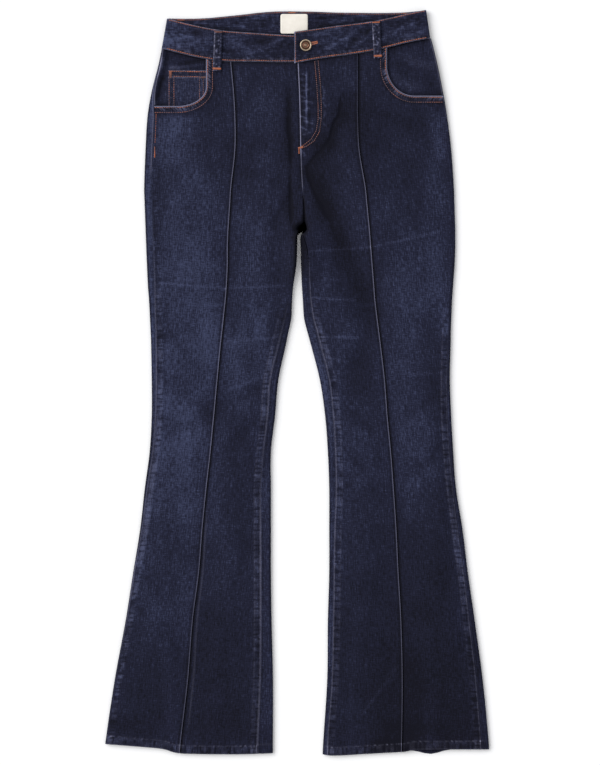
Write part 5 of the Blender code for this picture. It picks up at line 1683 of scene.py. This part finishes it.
def belt_loop(loop):
    columns = steps((-LOOP_WIDTH / 2, LOOP_WIDTH / 2, 0.8))
    rows = steps((0, 1, 1 / 56))
    leaning = math.atan2(loop.across_bottom - loop.across_top, loop.bottom - loop.top)

    def place(column, row):
        share, off = rows[row], columns[column]
        across = mix(loop.across_top, loop.across_bottom, share) + off * math.cos(leaning)
        down = mix(loop.top, loop.bottom, share) - off * math.sin(leaning)
        from_side = LOOP_WIDTH / 2 - abs(off)
        along, seed = down + (3 if off > 0 else 0), loop.across_top + (off > 0)
        rise, wear, _ = rope(along, from_side, seed, pitch=6.0, depth=4.5)
        lumps = uneven(across / 3.4, down / 3.0, 11.0)
        shift = 0.35 * rise + 0.25 * lumps - rounded_edge(from_side, 1.0)
        worn = 1.1 * wear + max(lumps, 0) * 0.9 + 0.05
        # painted shade on each loop's right edge, which faces away from the light
        if off > LOOP_WIDTH / 2 - 1.8:
            worn *= 0.3
        if loop.over:
            base = WAIST_LIFT + 2 * BAND_FOLD_RADIUS + GAP + LOOP_PLY
            height = base + LOOP_ARCH * math.sin(math.pi * share) + shift
        else:
            height = -min(shift, 0.0)
        return point(across, down, height), (across, down), worn, 0.31 + 0.35 * lumps

    return bend(f"{loop.name}_cloth", len(columns), len(rows), place, denim, LOOP_PLY, flip=not loop.over)


shape = bmesh.new()
for loop in LOOPS:
    made = belt_loop(loop)
    dressed(made, loop.name)
    flat, under = (LOOP_WIDTH * MM, (loop.bottom - loop.top) * MM), [loop.rests_on] if loop.over else []
    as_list(under)
    top = top_of(made, below=not loop.over)
    if loop.over:
        lean = -math.atan2(loop.across_bottom - loop.across_top, loop.bottom - loop.top)
        bartack(shape, loop.across_top, loop.top + 2.0, lean, 11.4, 2.2, top)
        bartack(shape, loop.across_bottom, loop.bottom - 3.6, lean, 11.8, 3.4, top)
    else:
        bartack(shape, loop.across_top, BAND_TOP[0](loop.across_top) + 2.0, 0.0, 11.0, 2.0, flat_top)
        for down in (loop.top + 2.5, loop.bottom - 3.0):
            for i in range(UNDER_STITCHES):
                across = loop.across_top - 5 + i * 10 / (UNDER_STITCHES - 1)
                one_stitch(shape, point(across, down - 1, 0.15), point(across, down + 1, 0.15), 0.3)
threads("belt_loop_bartacks", shape)

# ---- The button
# A tack button, 17 mm, die-cast and plated in antique brass: a raised rim rubbed bright, a brown dished face
# and a low boss. Its shank goes through the buttonhole.

SHANK_RADIUS, FOOT_RADIUS, BUTTON_SIDES = 2.4, 2.7, 56
foot = WAIST_LIFT + 2 * BAND_FOLD_RADIUS + GAP
under_cap = foot + BAND + GAP
BUTTON_PROFILE = (  # radius, and height above the cap's underside
    (0, 2.3), (1.6, 2.25), (2.3, 2.05), (2.7, 1.7), (3.4, 1.65), (3.7, 1.95), (4.1, 2), (4.5, 1.75),
    (5.6, 1.6), (6.2, 1.75), (6.6, 2.5), (7, 2.9), (7.6, 2.98), (8.2, 2.6), (8.6, 1.8), (8.5, 1.1),
    (8, 0.5), (6, 0),
)  # fmt: skip


def button_material():
    """Brass whose colour turns with the radius: bright on the rim, brown in the dish."""
    made, tree, shader = new_material("antique_brass_plate")
    place = node(tree, "TexCoord").outputs["Object"]
    spot = point(*BUTTON_AT, 0)
    centred = node(tree, "Mapping", {"Vector": place, "Location": (-spot.x, -spot.y, 0), "Scale": (1, 1, 0)})
    radius = node(tree, "VectorMath", {0: centred.outputs[0]}, operation="LENGTH").outputs["Value"]
    speck = node(tree, "TexNoise", {"Vector": place, "Scale": 900.0, "Detail": 3.0}).outputs["Fac"]
    moved = node(tree, "Math", {0: speck, 1: 0.0012, 2: radius}, operation="MULTIPLY_ADD").outputs[0]
    centimetres = node(tree, "Math", {0: moved, 1: 100.0}, operation="MULTIPLY").outputs[0]
    tone = node(tree, "ValToRGB", {"Fac": centimetres})
    boss = ((0.20, "#937c68"), (0.30, "#4a3329"), (0.42, "#8a6450"), (0.52, "#3f2a22"))
    rim = ((0.69, "#5a4034"), (0.74, "#b5a48c"), (0.80, "#baa78f"))
    fill(tone.color_ramp, *boss, *rim)
    bump = node(tree, "Bump", {"Height": speck, "Strength": 0.25, "Distance": 0.0003}).outputs[0]
    looks = {"Base Color": tone.outputs["Color"], "Metallic": 0.9, "Roughness": 0.36, "Normal": bump}
    plug(tree, shader, looks)
    return made


shape = bmesh.new()
middle = point(*BUTTON_AT, 0)
line = [(r, under_cap + z) for r, z in BUTTON_PROFILE]
line += [(SHANK_RADIUS, under_cap), (SHANK_RADIUS, foot + 0.6)]
line += [(FOOT_RADIUS, foot + 0.4), (FOOT_RADIUS, foot), (0.0, foot)]
points = [shape.verts.new(middle + Vector((r * MM, 0, z * MM))) for r, z in line]
edges = [shape.edges.new(pair) for pair in zip(points, points[1:])]
turned = {"cent": middle, "axis": (0, 0, 1), "angle": 2 * math.pi, "steps": BUTTON_SIDES, "use_merge": True}
bmesh.ops.spin(shape, geom=points + edges, **turned)
bmesh.ops.remove_doubles(shape, verts=shape.verts[:], dist=0.01 * MM)
bmesh.ops.recalc_face_normals(shape, faces=shape.faces[:])
tack = finished("tack_button", shape, button_material())
dressed(tack, "button")

# ---- The label
# A bare ivory label of woven satin inside the back band, soft at its corners. Its stitching at both ends is
# not drawn.

LABEL, LABEL_PLY, LABEL_CORNER = (-24.0, 15.8, 6.7, 35.5), 1.0, 3.2
LABEL_COLUMNS, LABEL_ROWS = 41, 31
label_top = WAIST_LIFT + BAND + GAP + LABEL_PLY

ivory, tree, shader = new_material("ivory_woven_satin")
place = node(tree, "TexCoord").outputs["Object"]
ribs = node(tree, "TexWave", {"Vector": place, "Scale": 500.0, "Distortion": 0.6}, bands_direction="Y")
ribs = ribs.outputs["Fac"]
cloud = node(tree, "TexNoise", {"Vector": place, "Scale": 120.0}).outputs["Fac"]
tone = node(tree, "Math", {0: ribs, 1: 0.3, 2: cloud}, operation="MULTIPLY_ADD").outputs[0]
tint = node(tree, "Mix", {"Factor": tone, "A": colour("#dcd5c9"), "B": colour("#f1ebe0")}, data_type="RGBA")
bump = node(tree, "Bump", {"Height": ribs, "Strength": 0.2, "Distance": 0.0002}).outputs[0]
looks = {"Base Color": tint.outputs["Result"], "Roughness": 0.6, "Sheen Weight": 0.2, "Normal": bump}
plug(tree, shader, looks)


def woven_label():
    low, high, first, last = LABEL
    wide, deep = high - low, last - first

    def place(column, row):
        x = (column / (LABEL_COLUMNS - 1) - 0.5) * wide
        y = (row / (LABEL_ROWS - 1) - 0.5) * deep
        over = Vector((abs(x) - wide / 2 + LABEL_CORNER, abs(y) - deep / 2 + LABEL_CORNER))
        if over.x > 0 and over.y > 0:
            over *= max(over.x, over.y) / over.length
            x = math.copysign(wide / 2 - LABEL_CORNER + over.x, x)
            y = math.copysign(deep / 2 - LABEL_CORNER + over.y, y)
        edge = min(wide / 2 - abs(x), deep / 2 - abs(y))
        height = label_top - 0.5 * math.exp(-edge / 0.8) + 0.3 * math.sin(x / 7) * smooth(edge / 4)
        across, down = (low + high) / 2 + x, (first + last) / 2 + y
        return point(across, down, height), (across, down), 0.0, 0.0

    return bend("label_cloth", LABEL_COLUMNS, LABEL_ROWS, place, ivory, LABEL_PLY)


cloth["label"] = woven_label()
dressed(cloth["label"], "label")
low, high, first, last = LABEL
